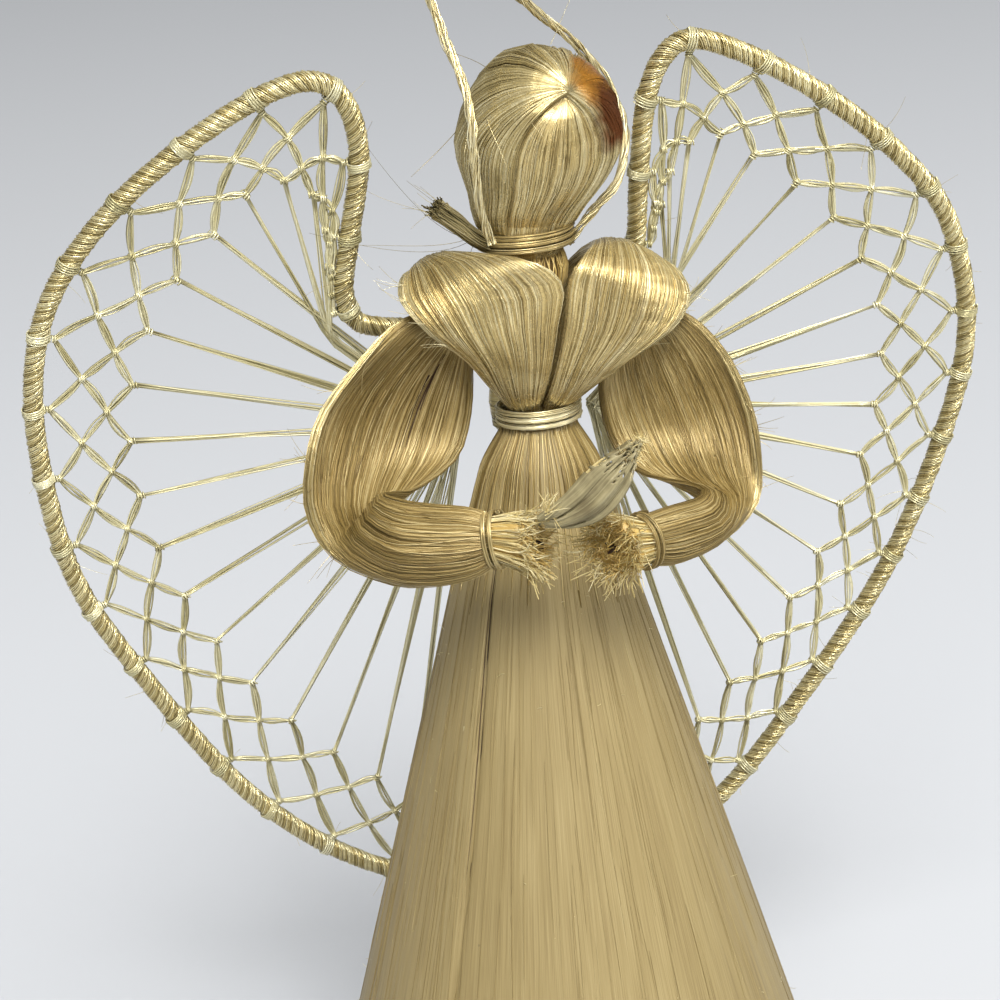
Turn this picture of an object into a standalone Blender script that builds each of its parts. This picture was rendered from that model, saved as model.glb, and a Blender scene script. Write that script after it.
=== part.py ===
"""Corn husk angel: a figure of bound plant fibre with a hollow skirt and two netted wings.

Metres, +Z up, front towards -Y. The skirt stands on Z = 0, round the Z axis.
"""
import math

import bmesh
import bpy
import numpy as np
from mathutils import Vector

MM = 0.001
GAP = 0.3 * MM                  # air between pieces that touch

# Skirt
HEM_RADIUS = 43.0 * MM
SKIRT_WALL = 1.0 * MM
SKIRT_CEILING = 17.0 * MM       # solid gathered fibre, from the waist down
SKIRT_TAPER = 0.2865            # radius lost for each metre of height
FLARE_HEIGHT = 7.0 * MM         # over which the skirt spreads below the waist tie
SKIRT_SIDES = 56
PLEAT_DEPTH = 0.22 * MM
SEAM_DEPTH = 0.7 * MM
SEAM_ANGLE = math.radians(-44)  # round from the front, towards -X

# Waist and neck
WAIST_Z = 127.0 * MM
WAIST_X = 1.0 * MM              # the waist sits a little to one side of the hem's centre
WAIST_RADIUS = 5.3 * MM
NECK_Z = 153.2 * MM
NECK_X = 0.8 * MM
NECK_RADIUS = 6.1 * MM
TURN = 0.95 * MM                # height of one turn of a tie
TIE_THICKNESS = 0.85 * MM
TIE_SIDES = 18
WAIST_TURNS = 3
NECK_TURNS = 3
WRIST_TURNS = 2

# Head
HEAD_TOP_Z = 180.8 * MM
HEAD_RADIUS = 12.3 * MM
HEAD_DEPTH = 0.95               # depth as a share of the width
HEAD_LEAN = 2.9 * MM            # how far the head's middle leans towards +X from the neck
HAIR_THICKNESS = 1.1 * MM
HEAD_SIDES = 24
HEAD_RINGS = 9

# Wings: one wrapped wire bent into a heart, and a net tied into each half
WING_BACK = 14.0 * MM           # from the Z axis back to the wings, at the waist
WING_RAISE = 1.0 * MM           # the wings' own zero height, below the waist
WIRE_RADIUS = 1.65 * MM
WIRE_STEP = 5.8 * MM
STRAND_WIDTH = 1.3 * MM
SPOKE_WIDTH = 1.0 * MM
STRAND_THICKNESS = 1.1 * MM
KNOT_REACH = 1.05 * MM          # from a net's tip to the wire
SPOKE_PULL = 0.132              # tension of a spoke as a share of a net strand's
NET_STATIONS = 20               # ties of each net to the wire, counted from the notch
NET_START = (26.6 * MM, 25.0 * MM)      # left and right: from the notch to the first tie
NET_SPACING = (11.9 * MM, 11.65 * MM)   # between the first ties
NET_GROWTH = (0.03 * MM, 0.0)           # by which each next spacing grows, halved
NET_CORNER = ((-30.5 * MM, 10.0 * MM), (25.0 * MM, 11.0 * MM))
NET_HUB = ((-9.5 * MM, -4.0 * MM), (11.5 * MM, -3.0 * MM))
NET_GATHERED = (5, 4)           # spokes that run round the corner

# Hanging loop
CORD_RADIUS = 1.0 * MM
CORD_STEP = 5.0 * MM

STRAW = (0.62, 0.50, 0.27)
PALE_STRAW = (0.78, 0.68, 0.44)
GOLD_STRAW = (0.70, 0.55, 0.28)
DRY_HUSK = (0.45, 0.42, 0.30)


def clear_scene():
    for thing in list(bpy.data.objects):
        bpy.data.objects.remove(thing, do_unlink=True)


def fibre(name, colour, roughness):
    material = bpy.data.materials.new(name)
    material.use_nodes = True
    shader = material.node_tree.nodes["Principled BSDF"]
    shader.inputs["Base Color"].default_value = (*colour, 1)
    shader.inputs["Roughness"].default_value = roughness
    shader.inputs["Metallic"].default_value = 0
    return material


def place(name, mesh, material, sharp=40):
    """A closed mesh as a shaded object of its own."""
    form = bmesh.new()
    form.from_mesh(mesh)
    bmesh.ops.recalc_face_normals(form, faces=form.faces)
    form.to_mesh(mesh)
    form.free()
    mesh.shade_smooth()
    mesh.set_sharp_from_angle(angle=math.radians(sharp))
    thing = bpy.data.objects.new(name, mesh)
    thing.data.materials.append(material)
    bpy.context.collection.objects.link(thing)
    return thing


def skin(name, rings, closed=False):
    """A mesh over rings of points, its ends closed by a face, or joined to each other."""
    count = len(rings[0])
    points = [point for ring in rings for point in ring]
    faces = []
    for k in range(len(rings) if closed else len(rings) - 1):
        low, high = k * count, (k + 1) % len(rings) * count
        for i in range(count):
            j = (i + 1) % count
            faces.append((low + i, low + j, high + j, high + i))
    if not closed:
        faces.append(tuple(range(count)))
        faces.append(tuple(range((len(rings) - 1) * count, len(rings) * count)))
    mesh = bpy.data.meshes.new(name)
    mesh.from_pydata([tuple(point) for point in points], [], faces)
    return mesh


def smooth(rows, samples, closed=False):
    """Evenly numbered samples of a Catmull-Rom curve through rows of numbers."""
    rows = np.array(rows, float)
    last = len(rows) if closed else len(rows) - 1
    result = []
    for t in np.linspace(0, last, samples, endpoint=not closed):
        k = min(int(t), last - 1)
        f = t - k
        if closed:
            a, b, c, d = (rows[(k + i) % len(rows)] for i in (-1, 0, 1, 2))
        else:
            a, b, c, d = (rows[min(max(k + i, 0), len(rows) - 1)] for i in (-1, 0, 1, 2))
        result.append(0.5 * (2 * b + (c - a) * f + (2 * a - 5 * b + 4 * c - d) * f**2
                             + (3 * b - a - 3 * c + d) * f**3))
    return np.array(result)


def evenly(points, step, closed=False):
    """The same line with its points at equal distances, near to step."""
    line = np.vstack([points, points[:1]]) if closed else np.array(points)
    along = np.concatenate([[0], np.cumsum(np.linalg.norm(np.diff(line, axis=0), axis=1))])
    count = max(2, round(along[-1] / step))
    wanted = np.linspace(0, along[-1], count + 1)[: count if closed else count + 1]
    return np.stack([np.interp(wanted, along, line[:, axis]) for axis in range(line.shape[1])], 1)


def bundle(name, stations, sections, sides=16, ripple=0.0):
    """A mesh of a flat bundle of fibres.

    A station is its two edge points, its thickness and its belly, in millimetres: the belly is
    how far its middle stands out from the straight line between the edges.
    """
    rows = smooth([[*a, *b, thickness, belly] for a, b, thickness, belly in stations], sections)
    middles = [(row[0:3] + row[3:6]) / 2 for row in rows]
    rings = []
    for k, row in enumerate(rows):
        across = Vector(row[3:6] - row[0:3])
        along = Vector(middles[min(k + 1, sections - 1)] - middles[max(k - 1, 0)])
        out = across.cross(along).normalized()
        ring = []
        for i in range(sides):
            turn = 2 * math.pi * i / sides
            groove = 1 - ripple * (i % 2)
            lift = row[6] / 2 * math.sin(turn) * groove + row[7] * math.sin(turn) ** 2
            point = Vector(middles[k]) + across / 2 * math.cos(turn) + out * lift
            ring.append(point * MM)
        rings.append(ring)
    return skin(name, rings)


def tie(name, material, centre, axis, side, radii, turns):
    """A band of wound turns round an oval of the two radii, side being its first axis."""
    axis = Vector(axis).normalized()
    side = (Vector(side) - axis * Vector(side).dot(axis)).normalized()
    other = axis.cross(side)
    profile = [(0, -turns / 2), (0, turns / 2)]
    for k in range(turns):
        top = turns / 2 - k
        profile += [(1, top - 0.25), (1, top - 0.75), (0.5, top - 1)]
    profile.pop()
    rings = []
    for i in range(TIE_SIDES):
        turn = 2 * math.pi * i / TIE_SIDES
        ring = []
        for out, height in profile:
            reach = [radius + GAP + out * TIE_THICKNESS for radius in radii]
            ring.append(Vector(centre) + side * reach[0] * math.cos(turn)
                        + other * reach[1] * math.sin(turn) + axis * height * TURN)
        rings.append(ring)
    return place(name, skin(name, rings, closed=True), material, sharp=60)


def tube(name, material, points, radius, roundness, cyclic=False):
    curve = bpy.data.curves.new(name, "CURVE")
    curve.dimensions = "3D"
    spline = curve.splines.new("POLY")
    spline.points.add(len(points) - 1)
    for knot, point in zip(spline.points, points):
        knot.co = (*point, 1)
    spline.use_cyclic_u = cyclic
    curve.bevel_depth = radius
    curve.bevel_resolution = roundness
    curve.render_resolution_u = 0
    curve.use_fill_caps = True
    thing = bpy.data.objects.new(name, curve)
    thing.data.materials.append(material)
    bpy.context.collection.objects.link(thing)
    return thing


def cut(target, cutter):
    """Take the cutter's shape out of the target."""
    cutter.hide_render = True
    cutter.display_type = "WIRE"
    modifier = target.modifiers.new("Cut by " + cutter.name, "BOOLEAN")
    modifier.operation = "DIFFERENCE"
    modifier.solver = "EXACT"
    modifier.object = cutter


def join(target, other):
    other.hide_render = True
    other.display_type = "WIRE"
    modifier = target.modifiers.new("Join " + other.name, "BOOLEAN")
    modifier.operation = "UNION"
    modifier.solver = "EXACT"
    modifier.object = other


def skirt_radius(z):
    """The cone's outer radius, drawn in towards the waist tie."""
    below_tie = WAIST_Z - WAIST_TURNS * TURN / 2 - 0.2 * MM - z
    spread = min(1.0, max(0.0, below_tie / FLARE_HEIGHT))
    cone = HEM_RADIUS - SKIRT_TAPER * z
    return WAIST_RADIUS + (cone - WAIST_RADIUS) * (1 - (1 - spread) ** 2)


def skirt(material):
    """The fibre sheet: a hollow cone, open at the hem and gathered under the waist tie."""
    def ring(z, radius, relief):
        centre = WAIST_X * max(0.0, 1 - (WAIST_Z - z) / (25 * MM))
        points = []
        for i in range(SKIRT_SIDES):
            turn = 2 * math.pi * i / SKIRT_SIDES
            pleat = math.sin(7 * turn) + 0.7 * math.sin(17 * turn + 1)
            seam = abs(math.remainder(turn - SEAM_ANGLE, 2 * math.pi)) * SKIRT_SIDES / (2 * math.pi)
            depth = PLEAT_DEPTH * pleat + SEAM_DEPTH * max(0.0, 1 - seam)
            reach = radius - depth * relief * min(1.0, radius / (15 * MM))
            points.append((centre + reach * math.sin(turn), -reach * math.cos(turn), z))
        return points

    top = WAIST_Z - GAP / 2
    ceiling = WAIST_Z - SKIRT_CEILING
    drops = (0, 1.6, 3.2, 5.6, 9.5, 24, 70)
    outer = [top - drop * MM for drop in drops] + [0]
    rings = [ring(z, skirt_radius(z), 1.0 if z < top - 2 * MM else 0.0) for z in outer]
    rings[-1] = ring(0, skirt_radius(0), 0.0)
    rings += [ring(z, skirt_radius(z) - SKIRT_WALL, 0.0) for z in (0, ceiling)]
    return place("skirt", skin("skirt", rings), material, sharp=50)


def head_section(z):
    """The middle and the radius of the head at a height."""
    height = HEAD_TOP_Z - NECK_Z
    share = (z - NECK_Z) / height
    shares = [-0.02, 0.02, 0.15, 0.25, 0.34, 0.43, 0.54, 0.70, 0.80, 0.905, 0.965, 1.0]
    radii = [0.50, 0.54, 0.69, 0.805, 0.90, 0.972, 1.0, 0.91, 0.78, 0.585, 0.36, 0.0]
    leans = [0.0, 0.0, 0.25, 0.65, 0.85, 0.95, 1.0, 1.1, 1.1, 1.05, 1.0, 1.0]
    return (NECK_X + HEAD_LEAN * float(np.interp(share, shares, leans)),
            HEAD_RADIUS * float(np.interp(share, shares, radii)))


def egg(name, inset, bottom):
    """The head's form, drawn in by an inset and cut flat at the bottom."""
    top = HEAD_TOP_Z - inset
    rings = []
    for k in range(HEAD_RINGS):
        share = math.sin(math.pi / 2 * k / HEAD_RINGS)
        z = bottom + (top - bottom) * share
        middle, radius = head_section(z + inset * share**3)
        radius = max(radius - inset, 0.8 * MM)
        rings.append([(middle + radius * math.cos(2 * math.pi * i / HEAD_SIDES),
                       radius * HEAD_DEPTH * math.sin(2 * math.pi * i / HEAD_SIDES), z)
                      for i in range(HEAD_SIDES)])
    return skin(name, rings)


def head(face, hair_fibre):
    """The fibre ball with its neck and stem, and the sheet of hair parted over it."""
    tie_top = NECK_Z + NECK_TURNS * TURN / 2
    hair_foot = tie_top + 0.8 * MM
    ball = place("head", egg("head", HAIR_THICKNESS + GAP, hair_foot), face)
    stem = [[(NECK_X + radius * math.cos(math.pi * i / 8), radius * math.sin(math.pi * i / 8), z)
             for i in range(16)]
            for radius, z in ((1.8 * MM, WAIST_Z + 4 * MM), (2.6 * MM, WAIST_Z + 14 * MM),
                              (NECK_RADIUS - 1.5 * MM, NECK_Z - 4.5 * MM),
                              (NECK_RADIUS, NECK_Z - 1.5 * MM), (NECK_RADIUS, tie_top),
                              (NECK_RADIUS - 1.3 * MM, hair_foot + 1.5 * MM))]
    join(ball, place("neck_stem", skin("neck_stem", stem), face))

    hair = place("hair", egg("hair", 0.0, hair_foot), hair_fibre)
    hollow = place("hair_hollow", egg("hair_hollow", HAIR_THICKNESS, hair_foot - 2 * MM), hair_fibre)
    cut(hair, hollow)
    # The parting, seen from the front, as shares of the head's radius from its middle
    parting = [(0.16, 0.47), (-0.08, 0.33), (-0.26, 0.12), (-0.33, -0.25), (-0.33, -0.75),
               (-0.28, -1.3), (0.45, -1.3), (0.62, -0.7), (0.66, -0.3), (0.52, 0.1), (0.30, 0.38)]
    middle = Vector((NECK_X + HEAD_LEAN, 0, NECK_Z + 0.54 * (HEAD_TOP_Z - NECK_Z)))
    front = [middle + Vector((x, -1.3, z)) * HEAD_RADIUS for x, z in parting]
    back = [middle + Vector((x, -0.02, z)) * HEAD_RADIUS for x, z in parting]
    cut(hair, place("parting", skin("parting", [front, back]), hair_fibre))


def bodice(material):
    """Two bundles of fibre, each from the waist over a shoulder and down the back."""
    # Edge points, thickness and belly in millimetres, from the front of the waist
    waist = WAIST_Z / MM + 0.15
    left = [
        ((-3.5, -1.5, waist), (0.7, -3.5, waist), 3.0, 0),
        ((-3.6, -1.6, waist + 1.6), (0.7, -3.7, waist + 1.6), 3.0, 0),
        ((-6.2, -3.8, waist + 5.5), (1.0, -7.0, waist + 4.5), 3.6, 0),
        ((-9.8, -6.2, waist + 10.6), (1.9, -9.0, waist + 8.8), 4.6, 0),
        ((-14.5, -6.4, waist + 14.7), (3.1, -10.0, waist + 15.0), 5.2, 0),
        ((-17.8, -4.2, waist + 19.0), (4.0, -10.6, waist + 20.9), 4.6, 0),
        ((-17.6, -1.2, waist + 21.2), (-0.6, -10.4, waist + 24.8), 3.8, 0),
        ((-16.0, 1.6, waist + 21.6), (-8.8, -2.6, waist + 24.4), 4.0, 0),
        ((-14.5, 4.4, waist + 19.0), (-6.6, 5.4, waist + 21.2), 3.2, 0),
        ((-11.0, 5.2, waist + 14.0), (-0.3, 5.6, waist + 14.2), 3.0, 0),
        ((-7.5, 4.4, waist + 7.0), (0.3, 5.0, waist + 7.0), 3.0, 0),
        ((-3.6, 1.6, waist + 1.6), (0.7, 3.7, waist + 1.6), 3.0, 0),
        ((-3.5, 1.5, waist), (0.7, 3.5, waist), 3.0, 0),
    ]
    right = [
        ((1.3, -3.5, waist), (5.5, -1.5, waist), 3.0, 0),
        ((1.3, -3.7, waist + 1.6), (5.6, -1.6, waist + 1.6), 3.0, 0),
        ((1.8, -7.0, waist + 4.5), (8.3, -3.8, waist + 4.5), 3.6, 0),
        ((2.7, -9.2, waist + 8.8), (12.4, -6.2, waist + 7.6), 4.6, 0),
        ((4.0, -10.3, waist + 15.0), (20.0, -5.2, waist + 11.4), 5.2, 0),
        ((4.9, -10.8, waist + 21.2), (23.3, -3.2, waist + 15.4), 4.8, 0),
        ((7.8, -9.8, waist + 24.0), (22.3, -0.6, waist + 18.6), 4.0, 0),
        ((10.8, -2.2, waist + 24.2), (19.0, 1.6, waist + 20.3), 4.0, 0),
        ((8.0, 5.8, waist + 20.6), (16.5, 4.4, waist + 18.8), 3.2, 0),
        ((2.3, 5.6, waist + 14.2), (12.5, 5.2, waist + 14.0), 3.0, 0),
        ((1.7, 5.0, waist + 7.0), (9.0, 4.4, waist + 7.0), 3.0, 0),
        ((1.3, 3.7, waist + 1.6), (5.6, 1.6, waist + 1.6), 3.0, 0),
        ((1.3, 3.5, waist), (5.5, 1.5, waist), 3.0, 0),
    ]
    for name, stations in (("bodice_left", left), ("bodice_right", right)):
        place(name, bundle(name, stations, 19, sides=14, ripple=0.1), material)


def arm(name, material, sheet, forearm):
    """The spread upper arm joined to the rolled forearm with its cut end."""
    upper = place(name, bundle(name, sheet, 10, sides=12), material)
    roll = bundle(name + "_forearm", forearm, 10, sides=12, ripple=0.06)
    lower = place(name + "_forearm", roll, material)
    join(upper, lower)


def arms(material, tie_material):
    waist = WAIST_Z / MM
    # Sheet: outer edge, inner edge, thickness, belly. Forearm: lower edge, upper edge
    arm("arm_left", material, [
        ((-13.0, -0.3, waist + 17.4), (-9.0, 0.0, waist + 10.6), 3.6, 0),
        ((-19.2, -1.5, waist + 15.6), (-8.8, -1.2, waist + 10.2), 2.8, 0.5),
        ((-25.0, -4.0, waist + 11.3), (-8.5, -0.5, waist + 7.0), 2.2, 3.5),
        ((-31.2, -7.0, waist + 5.4), (-9.2, 0.0, waist + 0.5), 2.0, 6.0),
        ((-34.0, -10.0, waist - 0.5), (-12.0, -2.0, waist - 5.5), 2.0, 6.5),
        ((-34.4, -12.6, waist - 5.5), (-16.0, -5.0, waist - 9.5), 2.2, 5.0),
        ((-33.0, -13.8, waist - 9.8), (-20.5, -11.0, waist - 13.5), 2.4, 2.5),
    ], [
        ((-33.6, -12.4, waist - 11.5), (-33.6, -12.4, waist - 7.5), 3.0, 0),
        ((-30.4, -15.0, waist - 14.8), (-30.4, -15.0, waist - 6.2), 7.0, 0),
        ((-24.6, -18.2, waist - 17.2), (-24.6, -18.2, waist - 5.8), 8.6, 0),
        ((-19.0, -20.6, waist - 17.5), (-18.6, -20.6, waist - 6.0), 8.6, 0),
        ((-13.2, -22.6, waist - 16.4), (-13.4, -22.6, waist - 6.3), 7.6, 0),
        ((-9.8, -24.0, waist - 14.2), (-10.4, -24.0, waist - 7.4), 5.8, 0),
        ((-6.6, -25.4, waist - 15.2), (-7.4, -25.4, waist - 7.0), 6.8, 0),
        ((-4.0, -27.4, waist - 14.6), (-4.0, -27.4, waist - 8.0), 6.4, 0),
    ])
    arm("arm_right", material, [
        ((12.5, 0.0, waist + 9.6), (15.8, -0.3, waist + 15.2), 3.6, 0),
        ((11.6, -1.2, waist + 8.0), (23.0, -1.5, waist + 12.8), 2.8, 0.5),
        ((10.2, -0.5, waist + 3.0), (28.0, -4.0, waist + 7.4), 2.2, 3.5),
        ((11.2, -1.0, waist - 5.0), (30.8, -7.0, waist + 0.2), 2.0, 5.5),
        ((13.0, -4.0, waist - 10.7), (31.5, -9.5, waist - 6.3), 2.0, 5.0),
        ((15.5, -8.0, waist - 14.0), (30.4, -11.0, waist - 11.0), 2.2, 3.5),
        ((19.0, -12.0, waist - 16.0), (27.8, -12.8, waist - 14.2), 2.4, 1.5),
    ], [
        ((29.0, -11.4, waist - 14.4), (29.0, -11.4, waist - 11.2), 3.0, 0),
        ((25.4, -14.6, waist - 16.6), (25.6, -14.6, waist - 11.0), 6.2, 0),
        ((20.0, -18.2, waist - 18.2), (19.6, -18.2, waist - 10.6), 7.2, 0),
        ((15.2, -21.2, waist - 18.4), (14.8, -21.2, waist - 10.2), 7.2, 0),
        ((11.2, -23.4, waist - 17.2), (10.8, -23.4, waist - 10.4), 6.2, 0),
        ((7.4, -25.8, waist - 17.5), (7.0, -25.8, waist - 8.7), 7.8, 0),
        ((4.9, -28.6, waist - 17.1), (4.7, -28.6, waist - 8.4), 8.6, 0),
    ])
    for name, centre, along, radii in (
        ("wrist_tie_left", (-10.1, -24.0, waist - 10.8), (3.4, -1.45, 0.35), (3.65, 3.2)),
        ("wrist_tie_right", (11.0, -23.4, waist - 13.8), (-4.0, -2.35, 0.0), (3.65, 3.4)),
    ):
        radii = [radius * MM for radius in radii]
        tie(name, tie_material, Vector(centre) * MM, along, (0, 0, 1), radii, WRIST_TURNS)


def held_husk(material):
    """The dry husk that stands up out of the left hand: a folded sheet with a torn end."""
    foot = WAIST_Z / MM - 7.2
    stations = [
        ((-4.6, -28.4, foot + 0.3), (-3.0, -28.4, foot - 0.1), 1.4, 0),
        ((-2.6, -30.2, foot + 2.2), (0.0, -30.0, foot - 0.7), 1.2, 0.5),
        ((0.6, -31.4, foot + 5.0), (3.6, -31.2, foot + 0.9), 1.0, 0.9),
        ((3.4, -32.4, foot + 8.2), (6.9, -32.2, foot + 4.0), 0.9, 0.9),
        ((6.7, -33.2, foot + 10.2), (9.0, -33.0, foot + 6.6), 0.8, 0.5),
    ]
    place("held_husk", bundle("held_husk", stations, 8, sides=10), material)


def neck_knot(material):
    """The cut stub of the neck tie's own fibres."""
    neck = NECK_Z / MM
    stations = [
        ((-8.3, -4.2, neck + 2.4), (-8.3, -1.6, neck + 2.4), 2.0, 0),
        ((-10.2, -4.8, neck + 4.0), (-10.0, -1.8, neck + 4.1), 2.6, 0),
        ((-12.9, -5.4, neck + 6.6), (-12.7, -2.2, neck + 6.7), 3.0, 0),
    ]
    place("neck_knot", bundle("neck_knot", stations, 5, sides=10), material)


def wing_point(x, height, off=0.0):
    """A point of the wings' plane, which leans like the back of the skirt."""
    lean = math.atan(SKIRT_TAPER)
    origin = Vector((0, WING_BACK, WAIST_Z - WING_RAISE))
    up = Vector((0, -math.sin(lean), math.cos(lean)))
    return origin + Vector((x, 0, 0)) + up * height + Vector((1, 0, 0)).cross(up) * off


def wing_outline():
    """The heart's wire in the wings' plane, from the notch round the left wing."""
    left = [(0, 12.4), (-10, 12.8), (-18.5, 13.9), (-23.6, 15.6), (-25.3, 21), (-23.9, 30),
            (-21.9, 43), (-24.2, 52), (-30.3, 54.4), (-42.2, 49.1), (-56.7, 38.3), (-67, 25.5),
            (-71.6, 11), (-72, -7), (-69.1, -26), (-60.8, -45.2), (-49, -67.2), (-37.5, -81.5),
            (-25.3, -91), (-12, -96.5)]
    right = [(4, -98.5), (20, -95), (33.9, -85.5), (47.2, -66.2), (60.7, -41.2), (69, -14.5),
             (70.9, 4), (66.6, 22), (57.9, 34.2), (44.8, 45.7), (31, 54), (24, 54.9),
             (20, 48), (18.7, 34), (18.3, 24), (16, 15.8), (10, 13)]
    return smooth(np.array(left + right) * MM, 600, closed=True)


def frame_stations(outline, wing, backwards):
    """Where a wing's net is tied on, inside the wire: along it from the notch, at growing steps."""
    line = outline[::-1] if backwards else outline
    line = np.roll(line, 1, axis=0) if backwards else line
    along = np.concatenate([[0], np.cumsum(np.linalg.norm(np.diff(line, axis=0), axis=1))])
    steps = np.arange(NET_STATIONS)
    wanted = NET_START[wing] + NET_SPACING[wing] * steps + NET_GROWTH[wing] * steps**2
    points = np.stack([np.interp(wanted, along, line[:, axis]) for axis in (0, 1)], 1)
    ahead = np.stack([np.interp(wanted + 1 * MM, along, line[:, axis]) for axis in (0, 1)], 1)
    run = (ahead - points) / np.linalg.norm(ahead - points, axis=1)[:, None]
    inward = np.stack([-run[:, 1], run[:, 0]], 1) * (-1 if backwards else 1)
    return points + inward * (WIRE_RADIUS + GAP + KNOT_REACH)


def net_graph(stations, corner, hub, gathered):
    """The net's knots, settled by their strands' pull, its meshes and its outline.

    Rows of knots hang between the stations, each row half a step along from the last. From the
    third row a spoke runs to the hub, the first of them round the corner of the wire.
    """
    count = len(stations)
    row_b = [count + k for k in range(count + 1)]
    row_c = [2 * count + 1 + k for k in range(count)]
    row_d = [3 * count + 1 + k for k in range(count - 1)]
    corner_at, hub_at = 4 * count, 4 * count + 1
    row_a = list(range(count))
    target = [corner_at if k < gathered else hub_at for k in range(count - 1)]

    strands = []
    for k in range(count):
        strands += [(row_a[k], row_b[k], 1), (row_a[k], row_b[k + 1], 1)]
        strands += [(row_c[k], row_b[k], 1), (row_c[k], row_b[k + 1], 1)]
    for k in range(count - 1):
        strands += [(row_d[k], row_c[k], 1), (row_d[k], row_c[k + 1], 1)]
        strands.append((row_d[k], target[k], SPOKE_PULL))

    total = 4 * count + 2
    fixed = {**dict(zip(row_a, stations)), corner_at: corner, hub_at: hub}
    pull = np.zeros((total, total))
    load = np.zeros((total, 2))
    for a, b, tension in strands:
        for one, two in ((a, b), (b, a)):
            pull[one, one] += tension
            pull[one, two] -= tension
    for knot, point in fixed.items():
        pull[knot] = 0
        pull[knot, knot] = 1
        load[knot] = point
    knots = np.linalg.solve(pull, load)

    meshes = [(row_a[k], row_b[k + 1], row_c[k], row_b[k]) for k in range(count)]
    meshes += [(row_b[k], row_c[k], row_d[k - 1], row_c[k - 1]) for k in range(1, count)]
    for k in range(1, count - 1):
        ends = (target[k],) if target[k] == target[k - 1] else (hub_at, corner_at)
        meshes.append((row_c[k], row_d[k], *ends, row_d[k - 1]))
    outline = []
    for k in range(count):
        outline += [row_a[k], row_b[k + 1]]
    outline += [row_c[-1], row_d[-1], hub_at, corner_at, row_d[0], row_c[0], row_b[0]]
    spokes = {frozenset((row_d[k], target[k])) for k in range(count - 1)}
    spokes.add(frozenset((corner_at, hub_at)))
    return knots, meshes, outline, spokes


def inset(points, loop, spokes, furthest):
    """The loop's corners moved to its left by half of each strand's width."""
    moved = []
    middle = np.mean([points[knot] for knot in loop], axis=0)
    for i, knot in enumerate(loop):
        before, after = loop[i - 1], loop[(i + 1) % len(loop)]
        rows, reach = [], []
        for a, b in ((before, knot), (knot, after)):
            run = points[b] - points[a]
            run = run / np.linalg.norm(run)
            rows.append((-run[1], run[0]))
            reach.append((SPOKE_WIDTH if frozenset((a, b)) in spokes else STRAND_WIDTH) / 2)
        sine = rows[0][0] * rows[1][1] - rows[0][1] * rows[1][0]
        if abs(sine) < 0.05:
            step = np.array(rows[0]) * reach[0]
        else:
            step = np.linalg.solve(np.array(rows), np.array(reach))
        limit = min(furthest, 0.45 * np.linalg.norm(middle - points[knot]))
        moved.append(points[knot] + step * min(1, limit / np.linalg.norm(step)))
    return moved


def wing_net(name, material, stations, corner, hub, gathered, mirrored):
    """A net whose strands have a flat diamond section, as one closed mesh."""
    knots, meshes, outline, spokes = net_graph(stations, corner, hub, gathered)
    points = []
    for x, height in knots:
        points.append(wing_point(x, height, STRAND_THICKNESS / 2))
        points.append(wing_point(x, height, -STRAND_THICKNESS / 2))
    faces = []
    loops = [(mesh[::-1], 1.0) for mesh in meshes] + [(tuple(outline), KNOT_REACH)]
    for loop, furthest in loops:
        loop = loop if mirrored else loop[::-1]
        first = len(points)
        for x, height in inset(knots, loop, spokes, furthest):
            points.append(wing_point(x, height))
        for i in range(len(loop)):
            j = (i + 1) % len(loop)
            a, b, p, q = loop[i], loop[j], first + i, first + j
            faces.append((2 * a, 2 * b, q, p))
            faces.append((2 * b + 1, 2 * a + 1, p, q))
    mesh = bpy.data.meshes.new(name)
    mesh.from_pydata([tuple(point) for point in points], [], faces)
    place(name, mesh, material, sharp=20)


def wings(wrap, net_fibre):
    outline = wing_outline()
    line = evenly(outline, WIRE_STEP, closed=True)
    points = [wing_point(x, height) for x, height in line]
    tube("wing_frame", wrap, points, WIRE_RADIUS, 1, cyclic=True)
    for wing, name in enumerate(("wing_net_left", "wing_net_right")):
        mirrored = wing == 1
        stations = frame_stations(outline, wing, mirrored)
        wing_net(name, net_fibre, stations, np.array(NET_CORNER[wing]), np.array(NET_HUB[wing]),
                 NET_GATHERED[wing], mirrored)


def wing_binding(material):
    """The wad of wound fibre that holds the wings behind the waist."""
    rings = []
    for height, half_width in ((-5.5, 3.5), (-4.2, 5.2), (0, 5.8), (5, 5.2), (8.5, 4.2), (9.4, 2.8)):
        z = wing_point(0, height * MM).z
        front = max(WAIST_RADIUS + TIE_THICKNESS + 3.5 * GAP, skirt_radius(z) + 2 * GAP)
        back = wing_point(WAIST_X, height * MM).y + 1.2 * MM
        middle, depth = (front + back) / 2, (back - front) / 2
        rings.append([(WAIST_X + half_width * MM * math.cos(math.pi * i / 8),
                       middle + depth * math.sin(math.pi * i / 8), z) for i in range(16)])
    place("wing_binding", skin("wing_binding", rings), material)


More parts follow.
